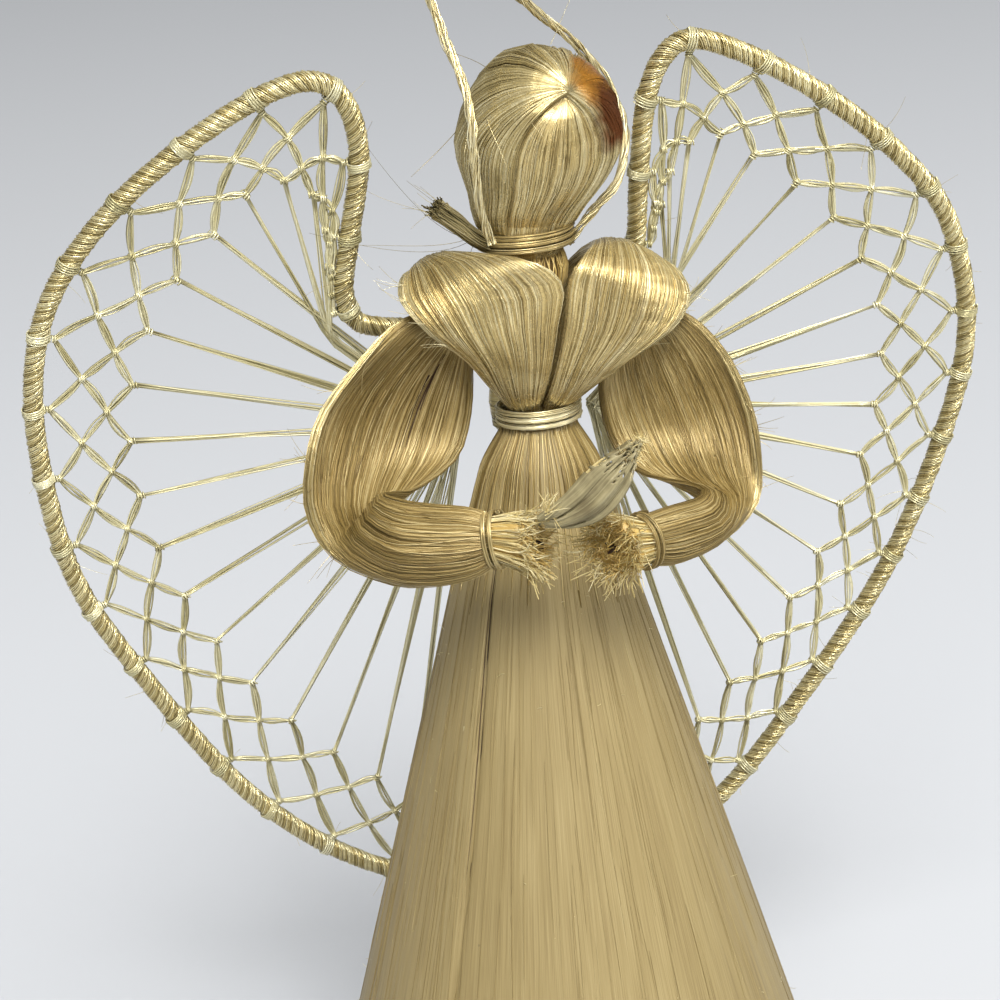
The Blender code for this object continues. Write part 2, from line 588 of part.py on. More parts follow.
def hanging_loop(material):
    """The stiff two-strand loop from the neck up past both sides of the head."""
    route = [
        (-5.8, -6.4, 156.2), (-6.3, -7.3, 158.6), (-6.8, -8.3, 162.3), (-7.0, -8.7, 166.6),
        (-7.0, -8.3, 171.1), (-7.1, -6.8, 175.4), (-8.0, -4.6, 179.3), (-9.4, -2.4, 184.0),
        (-10.8, -1.0, 189.0), (-12.9, 0.0, 196.0), (-15.0, 0.2, 202.0), (-16.6, 0.3, 205.0),
        (-16.2, 0.5, 206.2), (-14.0, 0.8, 204.4), (-9.0, 1.2, 199.0), (-3.0, 2.0, 192.6),
        (3.2, 3.0, 186.3), (7.4, 4.4, 182.4), (11.0, 5.6, 178.9), (14.0, 6.2, 175.1),
        (16.0, 5.6, 171.2), (16.7, 4.0, 167.4), (16.4, 1.7, 163.8), (14.8, 0.0, 160.2),
        (12.7, -0.6, 157.8), (11.0, -0.9, 156.3),
    ]
    points = evenly(smooth(np.array(route) * MM, 400), CORD_STEP)
    tube("hanging_loop", material, points, CORD_RADIUS, 2)


def build():
    clear_scene()
    sheet = fibre("skirt sheet", STRAW, 0.6)
    silky = fibre("silky fibre", GOLD_STRAW, 0.4)
    wound = fibre("wound fibre", PALE_STRAW, 0.5)
    husk = fibre("dry husk", DRY_HUSK, 0.8)

    skirt(sheet)
    tie("waist_tie", wound, (WAIST_X, 0, WAIST_Z), (0, 0, 1), (1, 0, 0),
        (WAIST_RADIUS, WAIST_RADIUS), WAIST_TURNS)
    bodice(silky)
    arms(silky, wound)
    held_husk(husk)
    head(silky, silky)
    tie("neck_tie", wound, (NECK_X, 0, NECK_Z), (0, 0, 1), (1, 0, 0),
        (NECK_RADIUS, NECK_RADIUS), NECK_TURNS)
    neck_knot(wound)
    hanging_loop(wound)
    wings(wound, wound)
    wing_binding(wound)


build()
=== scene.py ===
"""Looks of the corn husk angel: combed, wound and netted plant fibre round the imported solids.

Routes and stations are in millimetres, in the frame's own axes: front towards -Y, +Z up.
"""
import math

import bmesh
import bpy
import numpy as np
from mathutils import Matrix, Vector


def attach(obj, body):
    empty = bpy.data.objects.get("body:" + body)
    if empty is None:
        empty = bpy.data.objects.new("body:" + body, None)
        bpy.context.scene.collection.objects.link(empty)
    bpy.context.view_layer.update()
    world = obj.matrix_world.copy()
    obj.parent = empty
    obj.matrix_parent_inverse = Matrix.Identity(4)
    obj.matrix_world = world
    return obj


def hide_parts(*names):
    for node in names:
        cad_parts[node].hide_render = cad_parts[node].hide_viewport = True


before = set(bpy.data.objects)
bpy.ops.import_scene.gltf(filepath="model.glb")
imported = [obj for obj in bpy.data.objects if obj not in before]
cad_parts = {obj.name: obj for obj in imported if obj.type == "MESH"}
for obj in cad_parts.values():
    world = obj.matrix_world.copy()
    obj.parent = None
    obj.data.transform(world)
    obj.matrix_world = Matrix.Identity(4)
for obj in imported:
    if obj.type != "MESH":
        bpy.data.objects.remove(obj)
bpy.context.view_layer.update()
MM = 0.001
BODY = "root"

# Skirt
HEM_RADIUS = 43.0
SKIRT_TAPER = 0.2865
SKIRT_WALL = 1.0
SKIRT_CEILING_Z = 110.0
SKIRT_COLUMNS = 380
SKIRT_ROWS = 70
SKIRT_FIBRES = 330
SKIRT_FLECKS = 130
SEAM_ANGLE = math.radians(-44)

# Waist, neck and head
WAIST_Z = 127.0
WAIST_X = 1.0
WAIST_RADIUS = 5.3
FLARE_HEIGHT = 7.0
NECK_Z = 153.2
NECK_X = 0.8
NECK_RADIUS = 6.1
TURN = 0.95
HEAD_TOP_Z = 180.8
HEAD_RADIUS = 12.3
HEAD_DEPTH = 0.95
HEAD_LEAN = 2.9
HEAD_FOOT_Z = 155.0
HAIR_THICKNESS = 1.4
FACE_INSET = 1.55
HAIR_POLE = (0.30, -0.88, 0.62)         # from the head's middle to where the parting starts
PARTING = (math.radians(-37), math.radians(42))

# Fibres in a bundle, and the points along each
BODICE_FIBRES = 350
BODICE_SAMPLES = 34
ARM_FIBRES = 360
ARM_SAMPLES = 28
FACE_FIBRES = 330
HAIR_FIBRES = 560
PARTING_FIBRES = (35, 65)               # along the hair's right and left front edge
TRESS_SAMPLES = 24
TAIL_SAMPLES = 3                        # of a tress, below the neck tie's top
STUB_FIBRES = 150

# Wings
WING_BACK = 14.0
WING_RAISE = 1.0
WIRE_RADIUS = 1.65
NET_STATIONS = 20
NET_START = (26.6, 25.0)
NET_SPACING = (11.9, 11.65)
NET_GROWTH = (0.03, 0.0)
NET_CORNER = ((-30.5, 10.0), (25.0, 11.0))
NET_HUB = ((-9.5, -4.0), (11.5, -3.0))
NET_GATHERED = (5, 4)
SPOKE_CORNER = ((-28.0, 13.4), (23.4, 12.6))   # where the gathered spokes bend, close to the wire
NET_INSET = 2.3                         # from the wire's middle to the net's tips
SPOKE_PULL = 0.132

# Finish
SILK = 0.62                             # how far the fibres' gloss takes their own colour
FLECK_SCALE = 1500.0

# Camera, at the photograph's viewing angle
AIM = (-6.08, -2.79, 114.9)
CAMERA_DISTANCE = 380.0
CAMERA_ELEVATION = math.radians(18)
CAMERA_AZIMUTH = math.radians(-8)
CAMERA_ROLL = math.radians(4.2)
LENS = 93.06
LIGHT_AIM = (0, 0, 0.13)                # where the lamps point, in metres

random = np.random.default_rng(11)


# Curves and routes

def smooth(rows, samples, closed=False):
    """Evenly numbered samples of a Catmull-Rom curve through rows of numbers."""
    rows = np.array(rows, float)
    last = len(rows) if closed else len(rows) - 1
    t = np.linspace(0, last, samples, endpoint=not closed)
    k = np.minimum(t.astype(int), last - 1)
    f = (t - k)[:, None]
    if closed:
        a, b, c, d = (rows[(k + i) % len(rows)] for i in (-1, 0, 1, 2))
    else:
        a, b, c, d = (rows[np.clip(k + i, 0, len(rows) - 1)] for i in (-1, 0, 1, 2))
    return 0.5 * (2 * b + (c - a) * f + (2 * a - 5 * b + 4 * c - d) * f**2
                  + (3 * b - a - 3 * c + d) * f**3)


def lengths(line):
    """How far along the line each of its points is."""
    return np.concatenate([[0], np.cumsum(np.linalg.norm(np.diff(line, axis=0), axis=1))])


def evenly(points, step, closed=False):
    """The same line with its points at equal distances, near to step."""
    line = np.vstack([points, points[:1]]) if closed else np.array(points)
    along = lengths(line)
    count = max(2, round(along[-1] / step))
    wanted = np.linspace(0, along[-1], count + 1)
    return np.stack([np.interp(wanted, along, line[:, axis]) for axis in range(line.shape[1])], 1)


def unit(vectors):
    return vectors / np.maximum(np.linalg.norm(vectors, axis=-1, keepdims=True), 1e-9)


def wander(count, samples, waves=2.0):
    """Slow drifts between -1 and 1, one row for each fibre."""
    along = np.linspace(0, 1, samples)
    total = np.zeros((count, samples))
    for _ in range(3):
        phase = random.uniform(0, 2 * math.pi, (count, 1))
        total += np.sin(2 * math.pi * random.uniform(0.3, waves, (count, 1)) * along + phase)
    return total / 3


def once_round(count):
    """Angles at equal steps round a circle."""
    return np.linspace(0, 2 * math.pi, count, endpoint=False)


def locks(cells, rows=4):
    """Heights between -1 and 1 of the locks across a bundle, a row for each part of its length."""
    return random.uniform(-1, 1, (rows, cells + 1))


def bumps(table, across, along=None, closed=False):
    """The smooth heights of a table, where across and along run from 0 to 1.

    Without along, a row of across is one fibre from end to end. Closed joins the table's sides.
    """
    rows, columns = table.shape
    cells = columns if closed else columns - 1
    place = (across % 1 if closed else np.clip(across, 0, 1)) * cells
    low = np.minimum(place.astype(int), cells - 1)
    part = place - low
    part = part**2 * (3 - 2 * part)
    if along is None:
        down = np.linspace(0, rows - 1, across.shape[-1])
    else:
        down = np.clip(along, 0, 1) * (rows - 1)
    row = np.minimum(down.astype(int), rows - 2)
    share = down - row

    def at(line):
        return table[line, low] * (1 - part) + table[line, (low + 1) % columns] * part
    return at(row) * (1 - share) + at(row + 1) * share


def taper(count, samples, low, high, tip=0.45):
    """A radius for each fibre, thinner at both ends."""
    along = np.linspace(0, 1, samples)
    ends = tip + (1 - tip) * np.clip(np.minimum(along, 1 - along) * 12, 0, 1)
    return random.uniform(low, high, (count, 1)) * ends


# Meshes

def added(name, data):
    """A new object in the scene that holds the mesh, curve, light or camera."""
    holder = bpy.data.objects.new(name, data)
    bpy.context.collection.objects.link(holder)
    return holder


def finished(form, name):
    """The bmesh as a smooth mesh."""
    mesh = bpy.data.meshes.new(name)
    form.to_mesh(mesh)
    form.free()
    mesh.shade_smooth()
    return mesh


def drawn_out(form, edges):
    """The vertices and the edges that are drawn out of a ring of edges."""
    drawn = bmesh.ops.extrude_edge_only(form, edges=edges)["geom"]
    return ([item for item in drawn if isinstance(item, bmesh.types.BMVert)],
            [item for item in drawn if isinstance(item, bmesh.types.BMEdge)])


def closed_up(form):
    """Fill the ends and point the faces outwards."""
    bmesh.ops.holes_fill(form, edges=form.edges, sides=0)
    bmesh.ops.recalc_face_normals(form, faces=form.faces)


def fibre_section():
    """The three-sided section of a fibre."""
    curve = bpy.data.curves.new("section", "CURVE")
    spline = curve.splines.new("POLY")
    spline.points.add(2)
    spline.use_cyclic_u = True
    for k, point in enumerate(spline.points):
        turn = 2 * math.pi * k / 3
        point.co = (math.cos(turn) * MM, math.sin(turn) * MM, 0, 1)
    return added("section", curve)


def strands(name, fibres, roundness=0):
    """A mesh of many fibres, each a tube along its route, with one radius or one for each point."""
    curve = bpy.data.curves.new(name, "CURVE")
    curve.dimensions = "3D"
    curve.use_fill_caps = True
    if roundness:
        curve.bevel_depth = MM
        curve.bevel_resolution = roundness
    else:
        curve.bevel_mode = "OBJECT"
        curve.bevel_object = FIBRE_SECTION
    for route, radius in fibres:
        spline = curve.splines.new("POLY")
        spline.points.add(len(route) - 1)
        points = np.ones((len(route), 4))
        points[:, :3] = np.asarray(route) * MM
        spline.points.foreach_set("co", points.ravel())
        spline.points.foreach_set("radius", np.broadcast_to(radius, len(route)).copy())
    holder = added(name, curve)
    mesh = bpy.data.meshes.new_from_object(holder.evaluated_get(bpy.context.evaluated_depsgraph_get()))
    bpy.data.objects.remove(holder)
    bpy.data.curves.remove(curve)
    return mesh


def loft(name, rings):
    """A closed mesh through rings of points, each ring drawn out of the last.

    Its UV map runs from 0 to 1 round the rings and from the first ring to the last.
    """
    form = bmesh.new()
    turn = form.verts.layers.float.new("turn")
    share = form.verts.layers.float.new("share")
    count = len(rings[0])
    ring = bmesh.ops.create_circle(form, cap_ends=True, segments=count, radius=1)["verts"]
    for place, (vert, point) in enumerate(zip(ring, rings[0])):
        vert.co = Vector(point) * MM
        vert[turn] = place / count
    edges = list(form.edges)
    for row, points in enumerate(rings[1:], 1):
        verts, edges = drawn_out(form, edges)
        for vert, point in zip(verts, points):
            vert.co = Vector(point) * MM
            vert[share] = row / (len(rings) - 1)
    closed_up(form)
    grain = form.loops.layers.uv.new("UVMap")
    for face in form.faces:
        turns = [loop.vert[turn] for loop in face.loops]
        for loop, value in zip(face.loops, turns):
            loop[grain].uv = (value + (max(turns) - value > 0.5), loop.vert[share])
    return finished(form, name)


def piece(name, parts, slot_name, *nodes):
    """One object of several meshes with their materials, in the place of CAD nodes."""
    things = []
    for mesh, material in parts:
        mesh.materials.clear()
        mesh.materials.append(material)
        things.append(added(name, mesh))
    whole = things[0]
    whole.name = name
    if len(things) > 1:
        with bpy.context.temp_override(active_object=whole, object=whole, selected_objects=things,
                                       selected_editable_objects=things):
            bpy.ops.object.join()
    form = bmesh.new()
    form.from_mesh(whole.data)
    bmesh.ops.remove_doubles(form, verts=form.verts, dist=0.0005 * MM)
    form.to_mesh(whole.data)
    form.free()
    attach(whole, BODY)
    if nodes:
        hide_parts(*nodes)
    return whole


# Materials

def new_group(name, inputs, outputs):
    group = bpy.data.node_groups.new(name, "ShaderNodeTree")
    for way, sockets in (("INPUT", inputs), ("OUTPUT", outputs)):
        for title, kind in sockets:
            group.interface.new_socket(title, in_out=way, socket_type="NodeSocket" + kind)
    return group, group.nodes.new("NodeGroupInput"), group.nodes.new("NodeGroupOutput")


def feed(tree, socket, value):
    """Link the socket to another one, or set it to a number or a colour."""
    if isinstance(value, bpy.types.NodeSocket):
        tree.links.new(value, socket)
    else:
        socket.default_value = (*value, 1) if isinstance(value, tuple) else value


def maths(tree, operation, a, b, clamp=False):
    node = tree.nodes.new("ShaderNodeMath")
    node.operation = operation
    node.use_clamp = clamp
    feed(tree, node.inputs[0], a)
    feed(tree, node.inputs[1], b)
    return node.outputs[0]


def weighed(tree, *terms):
    """The sum of values, each times its weight."""
    total, *rest = (maths(tree, "MULTIPLY", value, weight) for value, weight in terms)
    for part in rest:
        total = maths(tree, "ADD", total, part)
    return total


def mixed(tree, share, a, b):
    node = tree.nodes.new("ShaderNodeMix")
    node.data_type = "RGBA"
    for socket, value in ((node.inputs[0], share), (node.inputs[6], a), (node.inputs[7], b)):
        feed(tree, socket, value)
    return node.outputs[2]


def noise(tree, vector, scale, detail=2.0):
    node = tree.nodes.new("ShaderNodeTexNoise")
    node.inputs["Detail"].default_value = detail
    tree.links.new(vector, node.inputs["Vector"])
    feed(tree, node.inputs["Scale"], scale)
    return node.outputs["Fac"]


def ramped(tree, value, low, high):
    """The value as a share between low and high, kept from 0 to 1 with soft ends."""
    node = tree.nodes.new("ShaderNodeMapRange")
    node.interpolation_type = "SMOOTHSTEP"
    tree.links.new(value, node.inputs["Value"])
    node.inputs["From Min"].default_value = low
    node.inputs["From Max"].default_value = high
    return node.outputs["Result"]


def toned(tree, tone, first, second, dark, middle, light):
    """Dark turns to middle over the first range of the tone, and to light over the second."""
    low = mixed(tree, ramped(tree, tone, *first), dark, middle)
    return mixed(tree, ramped(tree, tone, *second), low, light)


def raised(tree, shader, height, strength, depth):
    """Relief of this depth in millimetres, on the shader's normal."""
    bump = tree.nodes.new("ShaderNodeBump")
    bump.inputs["Strength"].default_value = strength
    bump.inputs["Distance"].default_value = depth * MM
    tree.links.new(height, bump.inputs["Height"])
    tree.links.new(bump.outputs["Normal"], shader.inputs["Normal"])


def new_material(name):
    """A material with its node tree and shader."""
    material = bpy.data.materials.new(name)
    material.use_nodes = True
    return material, material.node_tree, material.node_tree.nodes["Principled BSDF"]


def tone_group():
    """Colour, gloss and relief of fibre: each strand's own tone, slow patches and fine flecks."""
    group, given, result = new_group(
        "fibre tone",
        [("Position", "Vector"), ("Strand", "Float"), ("Dark", "Color"), ("Middle", "Color"),
         ("Light", "Color"), ("Patch", "Float"), ("Fleck", "Float"), ("Gloss", "Float")],
        [("Color", "Color"), ("Roughness", "Float"), ("Height", "Float")])
    patch = noise(group, given.outputs["Position"], given.outputs["Patch"])
    fleck = noise(group, given.outputs["Position"], given.outputs["Fleck"], 4.0)
    tone = weighed(group, (given.outputs["Strand"], 0.62), (patch, 0.50), (fleck, 0.16))
    tone = maths(group, "SUBTRACT", tone, 0.14, clamp=True)
    full = toned(group, tone, (0.05, 0.5), (0.5, 0.98),
                 *(given.outputs[title] for title in ("Dark", "Middle", "Light")))
    group.links.new(full, result.inputs["Color"])
    rough = maths(group, "ADD", given.outputs["Gloss"], maths(group, "MULTIPLY", fleck, 0.16))
    group.links.new(rough, result.inputs["Roughness"])
    group.links.new(fleck, result.inputs["Height"])
    return group


def streaks(tree, place, around, along, detail=3.0):
    """Noise drawn out along the UV map's second way, as combed fibre is."""
    mapping = tree.nodes.new("ShaderNodeMapping")
    mapping.inputs["Scale"].default_value = (around, along, 1)
    tree.links.new(place.outputs["UV"], mapping.inputs["Vector"])
    return noise(tree, mapping.outputs["Vector"], 1.0, detail)


def fibre_material(name, dark, middle, light, gloss, silk=SILK, relief=0.3, patch=95.0, grain=None,
                   stains=()):
    """Plant fibre from its dark to its light colour, whose gloss takes its own colour by the silk.

    Loose strands differ from each other. A combed body has a grain instead, given as its
    number of fibres round and along the UV map. A stain is a place, a reach and a colour.
    """
    material, tree, shader = new_material(name)
    place = tree.nodes.new("ShaderNodeTexCoord")
    tone = tree.nodes.new("ShaderNodeGroup")
    tone.node_tree = TONE
    tree.links.new(place.outputs["Object"], tone.inputs["Position"])
    titles = ("Dark", "Middle", "Light", "Patch", "Fleck", "Gloss")
    for title, value in zip(titles, (dark, middle, light, patch, FLECK_SCALE, gloss)):
        feed(tree, tone.inputs[title], value)
    if grain:
        fine = streaks(tree, place, *grain)
        wide = streaks(tree, place, grain[0] / 5, grain[1] * 0.6, 2.0)
        strand = weighed(tree, (fine, 0.65), (wide, 0.35))
        tree.links.new(ramped(tree, strand, 0.36, 0.62), tone.inputs["Strand"])
        raised(tree, shader, fine, relief, 0.16)
    else:
        island = tree.nodes.new("ShaderNodeNewGeometry")
        tree.links.new(island.outputs["Random Per Island"], tone.inputs["Strand"])
        raised(tree, shader, tone.outputs["Height"], relief, 0.08)
    colour = tone.outputs["Color"]
    for centre, reach, stain in stains:
        apart = tree.nodes.new("ShaderNodeVectorMath")
        apart.operation = "DISTANCE"
        tree.links.new(place.outputs["Object"], apart.inputs[0])
        apart.inputs[1].default_value = [value * MM for value in centre]
        ragged = maths(tree, "MULTIPLY", noise(tree, place.outputs["Object"], 300.0), 5.0 * MM)
        far = maths(tree, "ADD", apart.outputs["Value"], ragged)
        colour = mixed(tree, ramped(tree, far, (reach + 4.0) * MM, (reach + 0.8) * MM), colour, stain)
    tree.links.new(colour, shader.inputs["Base Color"])
    tree.links.new(tone.outputs["Roughness"], shader.inputs["Roughness"])
    shader.inputs["Metallic"].default_value = silk
    return material


def sheet_material(name):
    """The skirt's smooth sheet: fine grain that runs down from the waist, read from its UV map."""
    material, tree, shader = new_material(name)
    place = tree.nodes.new("ShaderNodeTexCoord")
    broad = streaks(tree, place, 34, 1.6, 2.0)
    grain = streaks(tree, place, 330, 5.0)
    hair = streaks(tree, place, 1300, 8.0, 2.0)
    tone = weighed(tree, (broad, 0.30), (grain, 0.28), (hair, 0.60))
    full = toned(tree, tone, (0.36, 0.62), (0.56, 0.84),
                 (0.185, 0.130, 0.046), (0.260, 0.194, 0.076), (0.345, 0.270, 0.123))
    specks = noise(tree, place.outputs["Object"], 330.0, 1.0)
    colour = mixed(tree, ramped(tree, specks, 0.80, 0.84), full, (0.06, 0.035, 0.015))
    tree.links.new(colour, shader.inputs["Base Color"])
    rough = maths(tree, "ADD", 0.42, maths(tree, "MULTIPLY", grain, 0.22))
    tree.links.new(rough, shader.inputs["Roughness"])
    raised(tree, shader, weighed(tree, (grain, 1.0), (hair, 0.6)), 0.55, 0.12)
    return material


def husk_material(name):
    """Thin dry husk: olive grey with pale veins along it."""
    material, tree, shader = new_material(name)
    place = tree.nodes.new("ShaderNodeTexCoord")
    veins = streaks(tree, place, 26, 1.6, 4.0)
    patch = noise(tree, place.outputs["Object"], 260.0, 3.0)
    tone = weighed(tree, (veins, 0.6), (patch, 0.5))
    full = toned(tree, tone, (0.36, 0.6), (0.55, 0.78),
                 (0.13, 0.10, 0.042), (0.28, 0.235, 0.115), (0.50, 0.43, 0.26))
    tree.links.new(full, shader.inputs["Base Color"])
    rough = maths(tree, "ADD", 0.45, maths(tree, "MULTIPLY", patch, 0.3))
    tree.links.new(rough, shader.inputs["Roughness"])
    raised(tree, shader, veins, 0.6, 0.15)
    return material


# Bundles of fibre

def flow(stations, samples):
    """A bundle's middle line, half width, outward direction, half thickness and belly.

    A station is its two edge points, its thickness and its belly, as in the solids.
    """
    rows = smooth([[*a, *b, thickness, belly] for a, b, thickness, belly in stations], samples)
    middle = (rows[:, 0:3] + rows[:, 3:6]) / 2
    half = (rows[:, 3:6] - rows[:, 0:3]) / 2
    out = unit(np.cross(half, np.gradient(middle, axis=0)))
    return middle, half, out, rows[:, 6] / 2, rows[:, 7]


def lay(bundle, across, lift):
    """Points in a bundle: across from -1 to 1 between its edges, lift from -1 to 1 through it."""
    middle, half, out, depth, belly = bundle
    height = lift * depth * np.sqrt(np.clip(1 - across**2, 0.02, 1)) + belly * (1 - across**2)
    return middle + across[..., None] * half + height[..., None] * out


def comb(name, stations, count, samples, ridge, cells, low, high, drift, untidy):
    """A bundle's body, with low locks along it, and the single fibres that lie over both faces.

    Ridge is the height of the locks, and cells is their number across. A fibre drifts by a share
    of the half width, and the untidy ones of each face cross the others.
    """
    tables = {-1: locks(cells), 1: locks(cells)}
    bundle = flow(stations, samples)
    turn = once_round(132)
    side = np.where(np.sin(turn) >= 0, 1, -1)[:, None]
    across = np.broadcast_to(np.cos(turn)[:, None] * 0.985, (len(turn), samples))
    relief = np.where(side > 0, *(bumps(tables[face], (across + 1) / 2) for face in (1, -1)))
    edge = np.sqrt(1 - across**2)
    points = lay(bundle, across, side * np.minimum(1, edge * 4) * 0.96)
    points = points + bundle[2] * (side * ridge * relief * edge)[..., None]
    mesh = loft(name + "_body", [points[:, k] for k in range(samples)])

    fibres = []
    for side in (-1, 1):
        for share, part in ((drift, count // 2 - untidy), (0.22, untidy)):
            start = random.uniform(-0.985, 0.985, (part, 1))
            across = np.clip(start + share * wander(part, samples, 1.3), -0.99, 0.99)
            relief = bumps(tables[side], (across + 1) / 2) * np.sqrt(1 - across**2)
            lift = side * (1.0 + 0.02 * wander(part, samples, 1.0) + 0.3 * (share - drift))
            points = lay(bundle, across, lift) + bundle[2] * (side * ridge * relief)[..., None]
            fibres += zip(points, taper(part, samples, low, high))
    return mesh, fibres, bundle


def rim(bundle, edge, count, reach, low=0.05, high=0.09):
    """Fibres that make a soft roll along one edge of a bundle."""
    middle, half, out, _, _ = bundle
    samples = len(middle)
    line = middle + half * edge * 0.97
    turn = random.uniform(0, 2 * math.pi, (count, 1)) + 0.8 * wander(count, samples, 1.0)
    size = reach * np.sqrt(random.uniform(0.2, 1, (count, 1)))
    swell = np.sin(np.linspace(0, math.pi, samples)) ** 0.5
    points = (line + unit(half) * (size * swell * np.cos(turn))[..., None]
              + out * (size * swell * np.sin(turn))[..., None])
    return list(zip(points, taper(count, samples, low, high)))


def hairs(starts, directions, length, curl=0.35, radius=0.06, samples=9):
    """Single loose hairs that leave the piece and curl."""
    fibres = []
    for start, direction in zip(np.atleast_2d(starts), np.atleast_2d(directions)):
        reach = random.uniform(*length)
        ahead = unit(np.array(direction, float))
        side = unit(np.cross(ahead, random.normal(size=3)))
        bend = unit(np.cross(ahead, side))
        t = np.linspace(0, 1, samples)[:, None]
        swing = random.uniform(-curl, curl, 2)
        route = start + reach * (ahead * t + side * swing[0] * t**2 + bend * swing[1] * (t**2 - 0.6 * t**3))
        fibres.append((route, np.linspace(radius, radius * 0.5, samples)))
    return fibres


def rope(line, out, starts, offset, lead, radius, plies=1, flat=0.0, loose=0.05):
    """Strands of several fibres that twist round a line: lead is the length of one turn.

    A strand's plies lie side by side over a flat share of its room, or bunched where flat is 0,
    and stray from their distance to the line by the loose length.
    """
    along = lengths(line)
    ahead = unit(np.gradient(line, axis=0))
    out = unit(out - np.sum(out * ahead, axis=1, keepdims=True) * ahead)
    side = np.cross(ahead, out)
    fibres = []
    for k in range(starts):
        bunch = random.uniform(0, 2 * math.pi)
        for ply in range(plies):
            place = (ply + 0.5) / plies - 0.5
            turn = 2 * math.pi * (along / lead + (k + flat * place) / starts)
            reach = offset + loose * wander(1, len(line), 9.0)[0] - flat * radius * 1.6 * place**2
            if not flat:
                spin = bunch + 2 * math.pi * ply / plies + 2.2 * turn
                reach = reach + radius * 1.5 * np.cos(spin)
                turn = turn + radius * 1.5 * np.sin(spin) / max(offset, 0.1)
            route = line + out * (reach * np.cos(turn))[:, None] + side * (reach * np.sin(turn))[:, None]
            fibres.append((route, radius * random.uniform(0.8, 1.15)))
    return fibres


def wound(centre, axis, side, radii, turns, fibres, strand):
    """A strand of a few fibres wound round an oval, its turns side by side."""
    axis = unit(np.array(axis, float))
    side = unit(np.array(side, float) - axis * np.dot(side, axis))
    other = np.cross(axis, side)
    turn = np.linspace(0, 2 * math.pi * turns, turns * 26)
    height = TURN * (turn / (2 * math.pi) - turns / 2)
    out = side * np.cos(turn)[:, None] + other * np.sin(turn)[:, None]
    reach = side * (radii[0] * np.cos(turn))[:, None] + other * (radii[1] * np.sin(turn))[:, None]
    middle = np.array(centre, float) + reach + axis * height[:, None]
    winding = []
    for k in range(fibres):
        phase = 2 * math.pi * k / fibres + turn * 0.3 + 0.5 * wander(1, len(turn), 5.0)[0]
        share = 0.70 if k else 0.0
        route = (middle + out * (strand * share * np.cos(phase))[:, None]
                 + axis * (strand * share * np.sin(phase))[:, None])
        winding.append((route, strand * random.uniform(0.26, 0.36)))
    return winding


# Skirt

def skirt_radius(z):
    """The cone's outer radius, drawn in towards the waist tie."""
    spread = np.clip((WAIST_Z - 1.6 - z) / FLARE_HEIGHT, 0, 1)
    cone = HEM_RADIUS - SKIRT_TAPER * z
    return WAIST_RADIUS + (cone - WAIST_RADIUS) * (1 - (1 - spread) ** 2)


RELIEFS = [(height, random.uniform(-1, 1, cells)) for height, cells in
           ((0.12, (3, 40)), (0.045, (4, 150)), (0.04, (5, 330)))]      # pleats, ribs and grain


def overlap(z):
    """The angle of the sheet's overlap, which wavers a little down the skirt."""
    return SEAM_ANGLE + 0.012 * np.sin(z * 0.11)


def skirt_point(angle, z, off=0.0):
    """A point of the skirt's outside, angle round from the front towards +X."""
    share = 1 - z / WAIST_Z
    size = np.clip((skirt_radius(z) - WAIST_RADIUS) / 12, 0, 1)
    relief = sum(height * bumps(table, angle / (2 * math.pi), share, closed=True)
                 for height, table in RELIEFS)
    seam = (angle - overlap(z) + math.pi) % (2 * math.pi) - math.pi
    step = np.where(seam < 0, 0.45 * np.exp(seam / 0.22), -0.15 * np.exp(-seam / 0.10))
    crack = -0.9 * np.exp(-(seam * skirt_radius(z) / 0.28) ** 2) * np.clip((z - 30) / 30, 0, 1)
    reach = skirt_radius(z) - 0.25 * size + (relief + step * 0.8 + crack) * size + off
    centre = WAIST_X * np.clip(1 - (WAIST_Z - z) / 25, 0, 1)
    return np.stack([centre + reach * np.sin(angle), -reach * np.cos(angle), z + 0 * angle], -1)


def skirt_fibres(tops, ends, drops, low, high, off):
    """Fibres down the skirt, each to a height in ends, or by a length in drops where ends is None."""
    fibres = []
    for _ in range(SKIRT_FIBRES):
        start = random.uniform(*tops)
        end = random.uniform(*ends) if ends else start - random.uniform(*drops)
        z = np.linspace(start, max(end, 3.0), 13)
        angle = random.uniform(0, 2 * math.pi) + 0.012 * wander(1, 13, 1.0)[0]
        lift = off * np.clip((WAIST_Z - z) / 4, 0.2, 1) * random.uniform(0.5, 1.6)
        fibres.append((skirt_point(angle, z, lift), taper(1, 13, low, high, 0.3)[0]))
    return strands("skirt_fibres", fibres)


